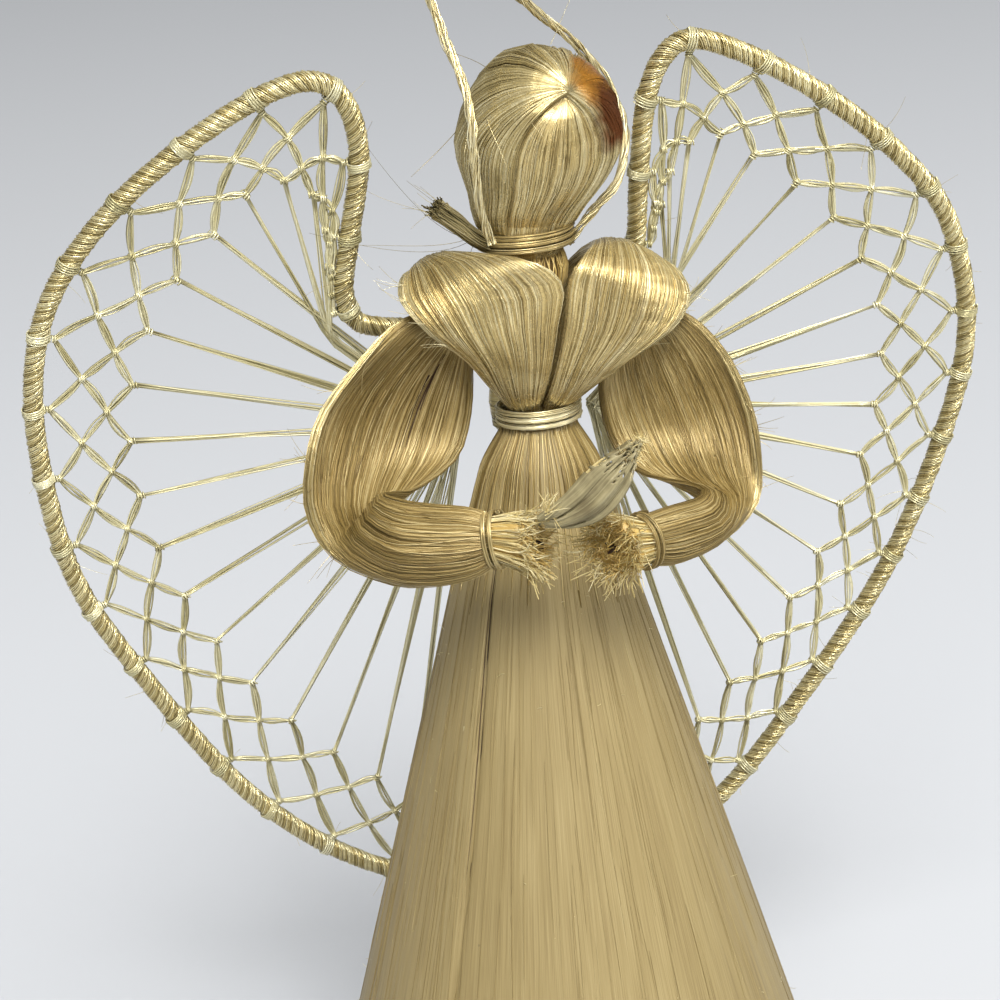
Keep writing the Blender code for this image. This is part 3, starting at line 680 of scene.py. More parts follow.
def skirt():
    """The rolled sheet with its wall and hollow, its gathers, its grain and the overlap's crease, with
    painted shade along the crease.
    """
    form = bmesh.new()
    bmesh.ops.create_grid(form, x_segments=SKIRT_COLUMNS, y_segments=SKIRT_ROWS, size=0.5)
    places = np.array([vert.co for vert in form.verts])
    share = places[:, 1] + 0.5
    angles = (places[:, 0] + 0.5) * 2 * math.pi
    points = skirt_point(angles, share**1.15 * (WAIST_Z - 0.15)) * MM
    for vert, point in zip(form.verts, points):
        vert.co = point
    bmesh.ops.remove_doubles(form, verts=form.verts, dist=0.0005 * MM)
    hem = [edge for edge in form.edges if edge.is_boundary and edge.verts[0].co.z < MM]
    for z in (0.0, 0.5 * SKIRT_CEILING_Z, SKIRT_CEILING_Z):
        verts, hem = drawn_out(form, hem)
        inner = (skirt_radius(z) - SKIRT_WALL) * MM
        for vert in verts:
            vert.co = (*(vert.co.xy.normalized() * inner), z * MM)
    closed_up(form)
    mesh = finished(form, "skirt")
    grain_map(mesh)

    gathers = skirt_fibres((126.6, 126.7), (99, 121), None, 0.07, 0.14, 0.10)
    grain = skirt_fibres((50, 124), None, (14, 50), 0.035, 0.06, 0.03)
    # Dark strands of shaded fibre along the overlap's crease: painted shade in the crease.
    z = np.linspace(107, 62, 30)
    thickness = 0.08 * np.sin(np.linspace(0.1, math.pi, 30)) ** 0.5
    crease = [(skirt_point(overlap(z) + side, z, 0.35), thickness) for side in (-0.006, 0.0, 0.005)]
    flecks = []
    for _ in range(SKIRT_FLECKS):
        height = random.uniform(8, 104)
        at = skirt_point(np.array(random.uniform(0, 2 * math.pi)), height, 0.04)
        ahead = random.normal(size=3) * [1, 1, 0.7]
        flecks += hairs(at, ahead, (0.3, 1.3), curl=1.2, radius=0.05, samples=5)
    parts = [(mesh, SHEET), (gathers, SLEEVE), (grain, HUSKY), (strands("crease", crease), SHADE),
             (strands("flecks", flecks), PALE)]
    piece("skirt_sheet", parts, "skirt_sheet", "skirt")


def grain_map(mesh):
    """A UV map of turns round the skirt and shares of its height."""
    points = np.zeros(len(mesh.vertices) * 3)
    mesh.vertices.foreach_get("co", points)
    points = points.reshape(-1, 3)
    corner = np.zeros(len(mesh.loops), int)
    mesh.loops.foreach_get("vertex_index", corner)
    turns = np.arctan2(points[:, 0], -points[:, 1])[corner] / (2 * math.pi) + 0.5
    first = np.zeros(len(mesh.polygons), int)
    sides = np.zeros(len(mesh.polygons), int)
    mesh.polygons.foreach_get("loop_start", first)
    mesh.polygons.foreach_get("loop_total", sides)
    face = np.repeat(np.arange(len(sides)), sides)
    highest = np.maximum.reduceat(turns, first)[face]
    turns = np.where(highest - turns > 0.5, turns + 1, turns)
    layer = mesh.uv_layers.new(name="UVMap")
    heights = points[corner, 2] / (WAIST_Z * MM)
    layer.data.foreach_set("uv", np.stack([turns, heights], 1).ravel())


# Body

def bodice():
    """Two bundles, each from the waist over a shoulder and down the back."""
    waist = WAIST_Z + 0.15
    left = [
        ((-3.5, -1.5, waist), (0.7, -3.5, waist), 3.0, 0),
        ((-3.6, -1.6, waist + 1.6), (0.7, -3.7, waist + 1.6), 3.0, 0),
        ((-6.2, -3.8, waist + 5.5), (1.0, -7.0, waist + 4.5), 3.6, 0),
        ((-9.8, -6.2, waist + 10.6), (1.9, -9.0, waist + 8.8), 4.6, 0),
        ((-14.5, -6.4, waist + 14.7), (3.1, -10.0, waist + 15.0), 5.2, 0),
        ((-17.8, -4.2, waist + 19.0), (4.0, -10.6, waist + 20.9), 4.6, 0),
        ((-17.6, -1.2, waist + 21.2), (-0.6, -10.4, waist + 24.8), 3.8, 0),
        ((-16.0, 1.6, waist + 21.6), (-8.8, -2.6, waist + 24.4), 4.0, 0),
        ((-14.5, 4.4, waist + 19.0), (-6.6, 5.4, waist + 21.2), 3.2, 0),
        ((-11.0, 5.2, waist + 14.0), (-0.3, 5.6, waist + 14.2), 3.0, 0),
        ((-7.5, 4.4, waist + 7.0), (0.3, 5.0, waist + 7.0), 3.0, 0),
        ((-3.6, 1.6, waist + 1.6), (0.7, 3.7, waist + 1.6), 3.0, 0),
        ((-3.5, 1.5, waist), (0.7, 3.5, waist), 3.0, 0),
    ]
    right = [
        ((1.3, -3.5, waist), (5.5, -1.5, waist), 3.0, 0),
        ((1.3, -3.7, waist + 1.6), (5.6, -1.6, waist + 1.6), 3.0, 0),
        ((1.8, -7.0, waist + 4.5), (8.3, -3.8, waist + 4.5), 3.6, 0),
        ((2.7, -9.2, waist + 8.8), (12.4, -6.2, waist + 7.6), 4.6, 0),
        ((4.0, -10.3, waist + 15.0), (20.0, -5.2, waist + 11.4), 5.2, 0),
        ((4.9, -10.8, waist + 21.2), (23.3, -3.2, waist + 15.4), 4.8, 0),
        ((6.8, -9.8, waist + 24.0), (22.3, -0.6, waist + 18.6), 4.0, 0),
        ((9.8, -2.4, waist + 24.2), (19.0, 1.6, waist + 20.3), 4.0, 0),
        ((8.0, 5.8, waist + 20.6), (16.5, 4.4, waist + 18.8), 3.2, 0),
        ((2.3, 5.6, waist + 14.2), (12.5, 5.2, waist + 14.0), 3.0, 0),
        ((1.7, 5.0, waist + 7.0), (9.0, 4.4, waist + 7.0), 3.0, 0),
        ((1.3, 3.7, waist + 1.6), (5.6, 1.6, waist + 1.6), 3.0, 0),
        ((1.3, 3.5, waist), (5.5, 1.5, waist), 3.0, 0),
    ]
    for name, stations, edge in (("bodice_left", left, -1), ("bodice_right", right, 1)):
        body, fibres, bundle = comb(name, stations, BODICE_FIBRES, BODICE_SAMPLES, 0.10, 26,
                                    low=0.055, high=0.10, drift=0.05, untidy=6)
        # The pale rim strands are partly pale fibre and partly a painted highlight along the outer edge.
        pale = rim(bundle, edge, 95 if edge < 0 else 75, 0.85)
        edge_line = lay(bundle, np.full(BODICE_SAMPLES, edge * 0.93), 1.0)
        rows = random.integers(10, 19, 16)
        away = unit(bundle[1][rows] * edge + random.normal(size=(16, 3)) * 3.0)
        loose = hairs(edge_line[rows], away, (1.5, 5), curl=1.1, radius=0.05)
        parts = [(body, COMBED), (strands(name, fibres), SILKY),
                 (strands(name + "_rim", pale + loose), PALE)]
        piece(name + "_fibre", parts, "silky_fibre", name)


def arms():
    """Each arm is one bundle: spread from the shoulder, folded at the elbow, rolled to the wrist."""
    waist = WAIST_Z
    left = [
        ((-13.0, -0.3, waist + 17.4), (-9.0, 0.0, waist + 10.6), 3.6, 0),
        ((-19.2, -1.5, waist + 15.6), (-8.8, -1.2, waist + 10.2), 2.8, 0.5),
        ((-25.0, -4.0, waist + 11.3), (-8.5, -0.5, waist + 7.0), 2.2, 3.5),
        ((-31.2, -7.0, waist + 5.4), (-9.2, 0.0, waist + 0.5), 2.0, 6.0),
        ((-34.0, -10.0, waist - 0.5), (-12.0, -2.0, waist - 5.2), 2.0, 6.5),
        ((-34.8, -12.2, waist - 7.6), (-19.0, -8.0, waist - 7.4), 2.8, 4.6),
        ((-31.6, -14.4, waist - 14.0), (-24.4, -14.6, waist - 5.4), 5.4, 1.6),
        ((-24.6, -18.2, waist - 17.2), (-22.0, -18.2, waist - 5.7), 8.6, 0),
        ((-19.0, -20.6, waist - 17.5), (-18.0, -20.6, waist - 6.0), 8.6, 0),
        ((-13.2, -22.6, waist - 16.4), (-13.4, -22.6, waist - 6.3), 7.6, 0),
        ((-9.8, -24.0, waist - 14.2), (-10.4, -24.0, waist - 7.4), 5.8, 0),
    ]
    right = [
        ((12.5, 0.0, waist + 9.6), (15.8, -0.3, waist + 15.2), 3.6, 0),
        ((11.6, -1.2, waist + 8.0), (23.0, -1.5, waist + 12.8), 2.8, 0.5),
        ((10.2, -0.5, waist + 3.0), (28.0, -4.0, waist + 7.4), 2.2, 3.5),
        ((11.2, -1.0, waist - 5.0), (30.8, -7.0, waist + 0.2), 2.0, 5.5),
        ((14.5, -5.0, waist - 9.6), (31.4, -9.6, waist - 6.6), 2.4, 4.6),
        ((21.5, -12.4, waist - 10.4), (30.0, -12.2, waist - 13.8), 4.2, 1.8),
        ((20.6, -17.4, waist - 10.6), (23.4, -16.4, waist - 17.6), 6.8, 0),
        ((15.0, -21.2, waist - 10.2), (15.6, -21.2, waist - 18.4), 7.2, 0),
        ((10.8, -23.4, waist - 10.4), (11.2, -23.4, waist - 17.2), 6.2, 0),
    ]
    hand_left = [
        ((-9.8, -24.0, waist - 14.2), (-10.4, -24.0, waist - 7.4), 5.8, 0),
        ((-6.6, -25.4, waist - 15.2), (-7.4, -25.4, waist - 7.0), 6.8, 0),
        ((-3.9, -27.4, waist - 15.0), (-3.9, -27.4, waist - 7.6), 7.0, 0),
    ]
    hand_right = [
        ((10.8, -23.4, waist - 10.4), (11.2, -23.4, waist - 17.2), 6.2, 0),
        ((7.0, -25.8, waist - 8.7), (7.4, -25.8, waist - 17.5), 7.8, 0),
        ((4.7, -28.6, waist - 8.4), (4.9, -28.6, waist - 17.1), 8.6, 0),
    ]
    for name, stations, hand, edge, droop in (("arm_left", left, hand_left, -1, 1.0),
                                              ("arm_right", right, hand_right, 1, 0.2)):
        body, fibres, bundle = comb(name, stations, ARM_FIBRES, ARM_SAMPLES, 0.11, 34,
                                    low=0.055, high=0.105, drift=0.07, untidy=28)
        # The outer roll is in lighter straw colour, partly pale fibre and partly a painted highlight along
        # the rim; the inner edge keeps the sleeve's darker tone.
        roll = rim(bundle, edge, 55, 0.75)
        inner = rim(bundle, -edge, 32, 0.6)
        strays = random.integers(0, len(roll), 24)
        starts = np.array([roll[k][0][random.integers(5, 17)] for k in strays])
        loose = hairs(starts, random.normal(size=(24, 3)) + [edge, -0.5, 0], (2, 6), radius=0.05)
        gape = slit(bundle) if name == "arm_left" else []
        filling, dark, tips, hollow_shade = brush(flow(hand, 8), droop)
        parts = [(body, COMBED_SLEEVE), (strands(name, fibres + inner), SLEEVE),
                 (strands(name + "_rim", roll + loose), STRAW), (strands(name + "_brush", dark), BROWN),
                 (strands(name + "_tips", tips), TIPS), (filling, BROWN),
                 (strands(name + "_core", hollow_shade), SHADE)]
        if gape:
            parts.append((strands(name + "_slit", gape), SHADE))
        piece(name + "_fibre", parts, "silky_fibre", name)


def slit(bundle):
    """Dark lines of painted shade where the left sleeve's sheet gapes below the shoulder."""
    place = random.uniform(0.36, 0.46, (16, 1)) + 0.03 * wander(16, ARM_SAMPLES)
    lines = [line[random.integers(4, 7):random.integers(8, 12)] for line in lay(bundle, place, -1.04)]
    return [(line, random.uniform(0.05, 0.13) * np.linspace(1, 0.4, len(line))) for line in lines]


def brush(bundle, droop):
    """A hand's filling, its brown and its pale cut fibres, and dark fibres of painted shade in its hollow.

    The brown ones are short round the hollow and the pale ones splayed towards the rim. In the
    lower half they stand longer and hang by the droop.
    """
    middle = bundle[0]
    samples = len(middle)
    ahead = unit(middle[-1] - middle[-3])
    made = []
    for count, near, far, cut, splay, low, high in ((270, 0.0, 0.85, (-1.6, -0.2), 0.1, 0.08, 0.13),
                                                    (300, 0.6, 1.0, (-1.2, 0.9), 0.6, 0.06, 0.11)):
        turn = random.uniform(0, 2 * math.pi, (count, 1))
        reach = np.sqrt(random.uniform(near**2, far**2, (count, 1)))
        across = reach * np.cos(turn) + 0.02 * wander(count, samples)
        points = lay(bundle, np.clip(across, -0.99, 0.99), np.sign(np.sin(turn)) * np.clip(
            reach * np.abs(np.sin(turn)) / np.sqrt(1 - np.minimum(across**2, 0.98)), 0, 1))
        growth = np.linspace(0, 1, samples)[None, :, None] ** 2.5
        away = points[:, -1:] - middle[-1]
        height = np.clip(away[..., 2:] / 3, -1, 1)
        depth = random.uniform(*cut, (count, 1, 1)) - 4.0 * np.clip(0.30 - reach, 0, 1)[..., None]
        depth = depth - droop * 0.9 * np.clip(height + 0.1, 0, 1)
        points = points + growth * (ahead * depth + away * splay * random.uniform(-0.2, 1, (count, 1, 1)))
        points = points + growth**2 * random.normal(size=(count, 1, 3)) * 0.95
        points = points + growth**2 * np.array([0, -0.4, -0.9]) * droop * np.clip(0.2 - height, 0, 1)
        made.append(list(zip(points, taper(count, samples, low, high, 0.8))))
    # Dark fibres in the hollow: painted shade.
    hollow_shade = middle[-4:][None] + random.normal(size=(30, 1, 3)) * 0.42
    hollow_shade = hollow_shade - ahead * random.uniform(0.5, 1.6, (30, 1, 1))
    made.append([(line, 0.12) for line in hollow_shade])
    turn = once_round(20)
    share = np.linspace(0, samples - 3, 6).astype(int)
    filled = [item[share] for item in bundle]
    across = np.broadcast_to(np.cos(turn)[:, None] * 0.85, (20, 6))
    points = lay(filled, across, np.sign(np.sin(turn))[:, None] * 0.85 * np.ones((1, 6)))
    return [loft("hand", [points[:, k] for k in range(6)]), *made]


def held_husk():
    """The dry husk in the left hand: a folded sheet with a torn, lacy end."""
    foot = WAIST_Z - 7.2
    stations = [
        ((-4.6, -28.4, foot + 0.5), (-3.0, -28.4, foot - 0.3), 1.4, 0),
        ((-2.8, -30.2, foot + 2.3), (-0.2, -30.0, foot - 1.0), 1.2, 0.5),
        ((0.0, -31.4, foot + 5.2), (4.0, -31.2, foot + 0.4), 1.0, 0.9),
        ((3.0, -32.4, foot + 8.4), (7.2, -32.2, foot + 4.0), 0.9, 0.9),
        ((7.0, -33.0, foot + 10.6), (8.8, -32.9, foot + 8.2), 0.8, 0.5),
        ((9.0, -33.3, foot + 12.0), (9.7, -33.3, foot + 10.8), 0.6, 0.2),
    ]
    columns, rows = 22, 46
    bundle = flow(stations, rows)
    form = bmesh.new()
    form.loops.layers.uv.new("UVMap")
    bmesh.ops.create_grid(form, x_segments=columns, y_segments=rows - 1, size=0.5, calc_uvs=True)
    tear = np.interp(np.linspace(0, 1, columns + 1), np.linspace(0, 1, 9),
                     [0.86, 0.95, 0.90, 1.0, 0.93, 0.99, 0.88, 0.96, 0.84])
    crease = random.uniform(-1, 1, (7, columns + 1))
    places = np.linspace(-1, 1, columns + 1)
    lines = [lay(bundle, np.full(rows, place), 0.3) for place in places]
    for vert in form.verts:
        column = round((vert.co.x + 0.5) * columns)
        share = (vert.co.y + 0.5) * tear[column]
        at = share * (rows - 1)
        low = min(int(at), rows - 2)
        line = lines[column]
        row = share * 5.999
        crumple = crease[int(row), column] * (1 - row % 1) + crease[int(row) + 1, column] * (row % 1)
        off = 0.28 * crumple + 0.25 * math.sin(places[column] * 7)
        point = line[low] + (line[low + 1] - line[low]) * (at - low) + bundle[2][low] * off
        vert.co = Vector(point) * MM
    torn = []
    for face in form.faces:
        height = face.calc_center_median().z / MM - foot
        if random.uniform() < np.interp(height, (4, 7, 11), (0, 0.08, 0.36)):
            torn.append(face)
    bmesh.ops.delete(form, geom=torn, context="FACES")
    held = {min(form.faces, key=lambda face: face.calc_center_median().z)}
    fresh = set(held)
    while fresh:
        fresh = {other for face in fresh for edge in face.edges for other in edge.link_faces} - held
        held |= fresh
    bmesh.ops.delete(form, geom=[face for face in form.faces if face not in held], context="FACES")
    bmesh.ops.recalc_face_normals(form, faces=form.faces)
    bmesh.ops.solidify(form, geom=form.faces, thickness=0.22 * MM)
    mesh = finished(form, "husk")
    across = np.concatenate([random.uniform(-0.98, -0.7, (26, 1)), random.uniform(-0.9, 0.9, (34, 1))])
    veins = lay(flow(stations, 26), across + 0.04 * wander(60, 26), np.full((60, 26), -1.15))
    veins = [line[random.integers(0, 4):random.integers(12, 22)] for line in veins]
    start = np.array([-3.4, -29.2, foot + 1.2]) + random.normal(size=(70, 3)) * 0.45
    tuft = hairs(start, [1.0, -0.5, 1.1] + random.normal(size=(70, 3)) * 0.7, (1.2, 3.4), radius=0.09)
    ends = lay(flow(stations, 26), random.uniform(-0.95, 0.95, (90, 26)), np.zeros((90, 26)))
    ends = ends[np.arange(90), random.integers(19, 26, 90)]
    lace = hairs(ends, random.normal(size=(90, 3)) + [0.4, -0.4, 0.2], (0.5, 1.5), curl=1.6, radius=0.07)
    vein_radius = random.uniform(0.03, 0.06)
    pale = strands("tuft", [(line, vein_radius) for line in veins] + tuft + lace)
    piece("dry_husk", [(mesh, HUSK), (pale, TIPS)], "dry_husk", "held_husk")


# Head

def head_section(z):
    """The middle and the radius of the head at heights."""
    share = (z - NECK_Z) / (HEAD_TOP_Z - NECK_Z)
    shares = [-0.02, 0.02, 0.15, 0.25, 0.34, 0.43, 0.54, 0.70, 0.80, 0.905, 0.965, 1.0]
    radii = [0.50, 0.54, 0.69, 0.805, 0.90, 0.972, 1.0, 0.91, 0.78, 0.585, 0.36, 0.0]
    leans = [0.0, 0.0, 0.25, 0.65, 0.85, 0.95, 1.0, 1.1, 1.1, 1.05, 1.0, 1.0]
    middle = NECK_X + HEAD_LEAN * np.interp(share, shares, leans)
    return middle, HEAD_RADIUS * np.interp(share, shares, radii)


def head_point(directions, inset):
    """Points of the head's form, in these directions from its middle."""
    ways = unit(directions)
    inset = np.broadcast_to(inset, ways.shape[:-1])
    z = HEAD_TOP_Z - inset - (1 - ways[..., 2]) / 2 * (HEAD_TOP_Z - inset - HEAD_FOOT_Z)
    middle, radius = head_section(z + inset * (1 + ways[..., 2]) / 2)
    radius = np.maximum(radius - inset, 0)
    flat = unit(ways[..., :2])
    return np.stack([middle + radius * flat[..., 0], radius * HEAD_DEPTH * flat[..., 1], z], -1)


def tresses(angles, inset, spread=0.03):
    """Fibres from the parting's top, round the head and down through the neck tie."""
    count = len(angles)
    t = np.linspace(0, 1, TRESS_SAMPLES)[None, :, None]
    angles = angles[:, None] + spread * wander(count, TRESS_SAMPLES, 1.2)
    round_to = np.stack([np.sin(angles), -np.cos(angles), np.full_like(angles, 0.15)], -1) * 1.6
    foot = np.stack([0.25 * np.sin(angles), -0.25 * np.cos(angles), np.full_like(angles, -1.0)], -1)
    ways = (1 - t) ** 2 * np.array(HAIR_POLE) + 2 * t * (1 - t) * round_to + t**2 * foot
    points = head_point(ways, inset)
    last = angles[:, -1]
    tails = []
    for reach, z in ((NECK_RADIUS - 0.1, NECK_Z + 1.0), (NECK_RADIUS - 0.2, NECK_Z - 1.0),
                     (NECK_RADIUS - 1.6, NECK_Z - 3.4)):
        tails.append(np.stack([NECK_X + reach * np.sin(last), -reach * np.cos(last), np.full(count, z)], 1))
    return np.concatenate([points, np.stack(tails, 1)], 1)


def tress_radii(count, low, high):
    """A radius for each point of the tresses."""
    return taper(count, TRESS_SAMPLES + TAIL_SAMPLES, low, high)


def head():
    """The fibre ball with its face, and the stem that goes down to the waist."""
    turn = once_round(140)
    around = np.repeat(turn[:, None] / (2 * math.pi), TRESS_SAMPLES, 1)
    paths = tresses(turn, FACE_INSET + 0.12 + 0.04 * bumps(locks(60), around), 0)
    ball = loft("ball", [paths[:, row] for row in range(paths.shape[1])])
    angles = random.uniform(PARTING[0] - 0.3, PARTING[1] + 0.3, FACE_FIBRES)
    lift = random.uniform(FACE_INSET - 0.10, FACE_INSET - 0.04, (FACE_FIBRES, 1))
    face = strands("face", zip(tresses(angles, lift), tress_radii(FACE_FIBRES, 0.05, 0.09)))

    turn = once_round(20)
    profile = ((1.8, WAIST_Z + 4), (3.2, WAIST_Z + 14), (NECK_RADIUS - 0.4, NECK_Z - 5.5),
               (NECK_RADIUS - 1.0, NECK_Z - 2.0))
    rings = [np.stack([NECK_X + radius * np.cos(turn), radius * np.sin(turn), np.full(20, z)], 1)
             for radius, z in profile]
    stem = loft("stem", rings)
    routes = []
    for angle in random.uniform(0, 2 * math.pi, 120):
        radius, z = np.array(profile).T
        bend = angle + 0.3 * wander(1, 4, 0.6)[0]
        line = np.stack([NECK_X + (radius + 0.15) * np.sin(bend), -(radius + 0.15) * np.cos(bend), z], 1)
        routes.append(smooth(line, 9))
    fibres = strands("stem_fibres", zip(routes, taper(120, 9, 0.07, 0.12)))
    # The stem's dark fibre is painted shade for the recess inside the neck.
    parts = [(ball, COMBED), (face, SILKY), (stem, UNDER_SHADE), (fibres, BROWN)]
    piece("head_fibre", parts, "silky_fibre", "head")


def hair():
    """The sheet laid over the head: a shell with its two front edges free, and its single fibres."""
    low, high = PARTING[1], PARTING[0] + 2 * math.pi
    table = locks(46)

    def inset(angles, base):
        place = np.repeat(((angles - low) / (high - low))[:, None], TRESS_SAMPLES, 1)
        edge = np.minimum(angles - low, high - angles)
        sunk = 0.12 * np.exp(-edge / 0.03) + 0.75 * np.exp(-(angles - low) / 0.13)
        return base - 0.10 * bumps(table, place) + sunk[:, None]

    angles = np.linspace(low, high, 170)
    outer = tresses(angles, inset(angles, 0.42), 0)
    inner = tresses(angles, HAIR_THICKNESS - 0.1, 0)
    rings = [np.concatenate([outer[:, row], inner[::-1, row]]) for row in range(outer.shape[1])]
    shell = loft("shell", rings)

    angles = random.uniform(low, high, HAIR_FIBRES)
    sheet = tresses(angles, inset(angles, 0.24) + 0.02 * wander(HAIR_FIBRES, TRESS_SAMPLES, 1.0))
    edges = np.concatenate([random.normal(edge, 0.012, count)
                            for edge, count in zip((low + 0.005, high - 0.005), PARTING_FIBRES)])
    right_insets, left_insets = (random.uniform(least, most, len(edges))
                                 for least, most in ((1.1, 1.35), (0.3, 1.15)))
    insets = np.where(edges < math.pi, right_insets, left_insets)
    front = tresses(edges, insets[:, None] + 0.05 * wander(len(edges), TRESS_SAMPLES, 2.0))
    fibres = list(zip([*sheet, *front], tress_radii(HAIR_FIBRES + len(edges), 0.055, 0.10)))
    starts = head_point(np.array([[-0.9, -0.3, 0.5], [-0.6, -0.6, 0.8], [0.3, 0.2, 1.0], [-0.95, 0, 0.1],
                                  [-0.5, -0.7, 0.6], [-0.7, -0.6, 0.3]]), 0.1)
    ways = [(-0.2, -0.6, -1), (-0.5, -0.3, 0.6), (0.6, 0, 1), (-1, 0, -1), (0.6, -0.7, -1), (0.2, -0.6, -1)]
    mesh = strands("hair", fibres + hairs(starts, ways, (4, 11)))
    piece("hair_fibre", [(shell, COMBED_HAIR), (mesh, HAIR)], "silky_fibre", "hair")


# Ties

def ties():
    """Three turns at the waist and the neck, and two at each wrist."""
    up, right = (0, 0, 1), (1, 0, 0)
    wrist_left, way_left = (-10.1, -24.0, WAIST_Z - 10.8), (3.4, -1.45, 0.35)
    wrist_right, way_right = (11.0, -23.4, WAIST_Z - 13.8), (-4.0, -2.35, 0.0)
    windings = (
        ("waist_tie", PALE, (WAIST_X, 0, WAIST_Z), up, right, (WAIST_RADIUS + 0.72,) * 2, 3, 10, 0.46),
        ("neck_tie", STRAW, (NECK_X, 0, NECK_Z), up, right, (NECK_RADIUS + 0.72,) * 2, 3, 10, 0.46),
        ("wrist_tie_left", STRAW, wrist_left, way_left, up, (4.0, 3.55), 2, 13, 0.34),
        ("wrist_tie_right", SLEEVE, wrist_right, way_right, up, (4.0, 3.75), 2, 10, 0.3),
    )
    for name, material, centre, axis, side, radii, turns, fibres, strand in windings:
        winding = wound(centre, axis, side, radii, turns, fibres, strand)
        piece(name + "_winding", [(strands(name, winding), material)], "wound_fibre", name)


def neck_knot():
    """The cut stub of the neck tie's own fibres."""
    stations = [
        ((-4.6, -4.2, NECK_Z - 0.4), (-4.6, -1.0, NECK_Z - 0.4), 2.2, 0),
        ((-6.6, -4.2, NECK_Z + 0.9), (-6.6, -1.2, NECK_Z + 0.9), 2.6, 0),
        ((-8.3, -4.4, NECK_Z + 2.4), (-8.3, -1.4, NECK_Z + 2.4), 2.7, 0),
        ((-10.2, -4.8, NECK_Z + 4.1), (-10.0, -1.8, NECK_Z + 4.2), 2.8, 0),
        ((-12.7, -5.4, NECK_Z + 6.3), (-12.5, -2.2, NECK_Z + 6.4), 3.0, 0),
    ]
    samples = 13
    bundle = flow(stations, samples)
    across, lift = (random.uniform(-0.95, 0.95, (STUB_FIBRES, 1)) + 0.08 * wander(STUB_FIBRES, samples)
                    for _ in range(2))
    points = lay(bundle, across, lift)
    points[:, -1] += random.normal(size=(STUB_FIBRES, 3)) * 0.4
    points[:, -2] += random.normal(size=(STUB_FIBRES, 3)) * 0.12
    tips = points[:8, -1]
    loose = hairs(tips, tips - points[:8, -6] + 3.5 * random.normal(size=(8, 3)), (1.5, 4), radius=0.045)
    ways = [(-1, -0.2, -0.9), (-1, 0.1, 0.5), (-0.8, 0, -1.4), (-1, 0, 0.1), (-0.6, 0, 1), (-1, 0, -0.5),
            (-1, 0, 1)]
    loose += hairs(points[16:16 + len(ways), 3], ways, (9, 17), curl=1.3, radius=0.045, samples=16)
    stub = list(zip(points, taper(STUB_FIBRES, samples, 0.08, 0.15, 0.8)))
    piece("neck_knot_stub", [(strands("knot", stub + loose), DULL)], "wound_fibre", "neck_knot")


# Wings

WING_LEAN = math.atan(SKIRT_TAPER)      # like the back of the skirt
WING_ACROSS = np.array([1.0, 0, 0])
WING_UP = np.array([0, -math.sin(WING_LEAN), math.cos(WING_LEAN)])
WING_NORMAL = np.cross(WING_ACROSS, WING_UP)


def wing_point(plane, off=0.0):
    """Points of the wings' leaning plane, moved off it."""
    plane = np.atleast_2d(plane)
    off = np.broadcast_to(off, len(plane))
    return (np.array([0, WING_BACK, WAIST_Z - WING_RAISE]) + plane[:, :1] * WING_ACROSS
            + plane[:, 1:2] * WING_UP + off[:, None] * WING_NORMAL)


def wing_outline():
    """The heart's wire in the wings' plane, from the notch round the left wing."""
    left = [(0, 12.4), (-10, 12.8), (-18.5, 13.9), (-23.6, 15.6), (-25.3, 21), (-23.9, 30),
            (-21.9, 43), (-24.2, 52), (-30.3, 54.4), (-42.2, 49.1), (-56.7, 38.3), (-67, 25.5),
            (-71.6, 11), (-72, -7), (-69.1, -26), (-60.8, -45.2), (-49, -67.2), (-37.5, -81.5),
            (-25.3, -91), (-12, -96.5)]
    right = [(4, -98.5), (20, -95), (33.9, -85.5), (47.2, -66.2), (60.7, -41.2), (69, -14.5),
             (70.9, 4), (66.6, 22), (57.9, 34.2), (44.8, 45.7), (31, 54), (24, 54.9),
             (20, 48), (18.7, 34), (18.3, 24), (16, 15.8), (10, 13)]
    return smooth(left + right, 600, closed=True)


def ties_on_wire(outline, wing):
    """Where a wing's net is tied on: points of the wire, the way along it and the way in."""
    line = outline if wing == 0 else np.roll(outline[::-1], 1, axis=0)
    along = lengths(line)
    steps = np.arange(NET_STATIONS)
    wanted = NET_START[wing] + NET_SPACING[wing] * steps + NET_GROWTH[wing] * steps**2
    points, ahead = (np.stack([np.interp(wanted + extra, along, line[:, axis]) for axis in (0, 1)], 1)
                     for extra in (0, 1))
    run = unit(ahead - points)
    inward = np.stack([-run[:, 1], run[:, 0]], 1) * (1 if wing == 0 else -1)
    return points, run, inward


def net_knots(stations, corner, hub, gathered):
    """The net's knots, settled by their strands' pull, and its strands and spokes.

    Rows of knots hang between the stations, each row half a step along from the last. From the
    last row a spoke runs to the hub, the first of them round the corner of the wire.
    """
    count = len(stations)
    row_a = list(range(count))
    row_b = [count + k for k in range(count + 1)]
    row_c = [2 * count + 1 + k for k in range(count)]
    row_d = [3 * count + 1 + k for k in range(count - 1)]
    corner_at, hub_at = 4 * count, 4 * count + 1
    netting = []
    for k in range(count):
        netting += [(row_a[k], row_b[k]), (row_a[k], row_b[k + 1]),
                    (row_b[k], row_c[k]), (row_b[k + 1], row_c[k])]
    for k in range(count - 1):
        netting += [(row_c[k], row_d[k]), (row_c[k + 1], row_d[k])]
    spokes = [(row_d[k], corner_at if k < gathered else hub_at) for k in range(count - 1)]
    pull = np.zeros((4 * count + 2,) * 2)
    load = np.zeros((4 * count + 2, 2))
    for pairs, tension in ((netting, 1.0), (spokes, SPOKE_PULL)):
        for a, b in pairs:
            for one, two in ((a, b), (b, a)):
                pull[one, one] += tension
                pull[one, two] -= tension
    for knot, point in [*zip(row_a, stations), (corner_at, corner), (hub_at, hub)]:
        pull[knot] = 0
        pull[knot, knot] = 1
        load[knot] = point
    return np.linalg.solve(pull, load), netting, spokes, row_b + row_c, row_d


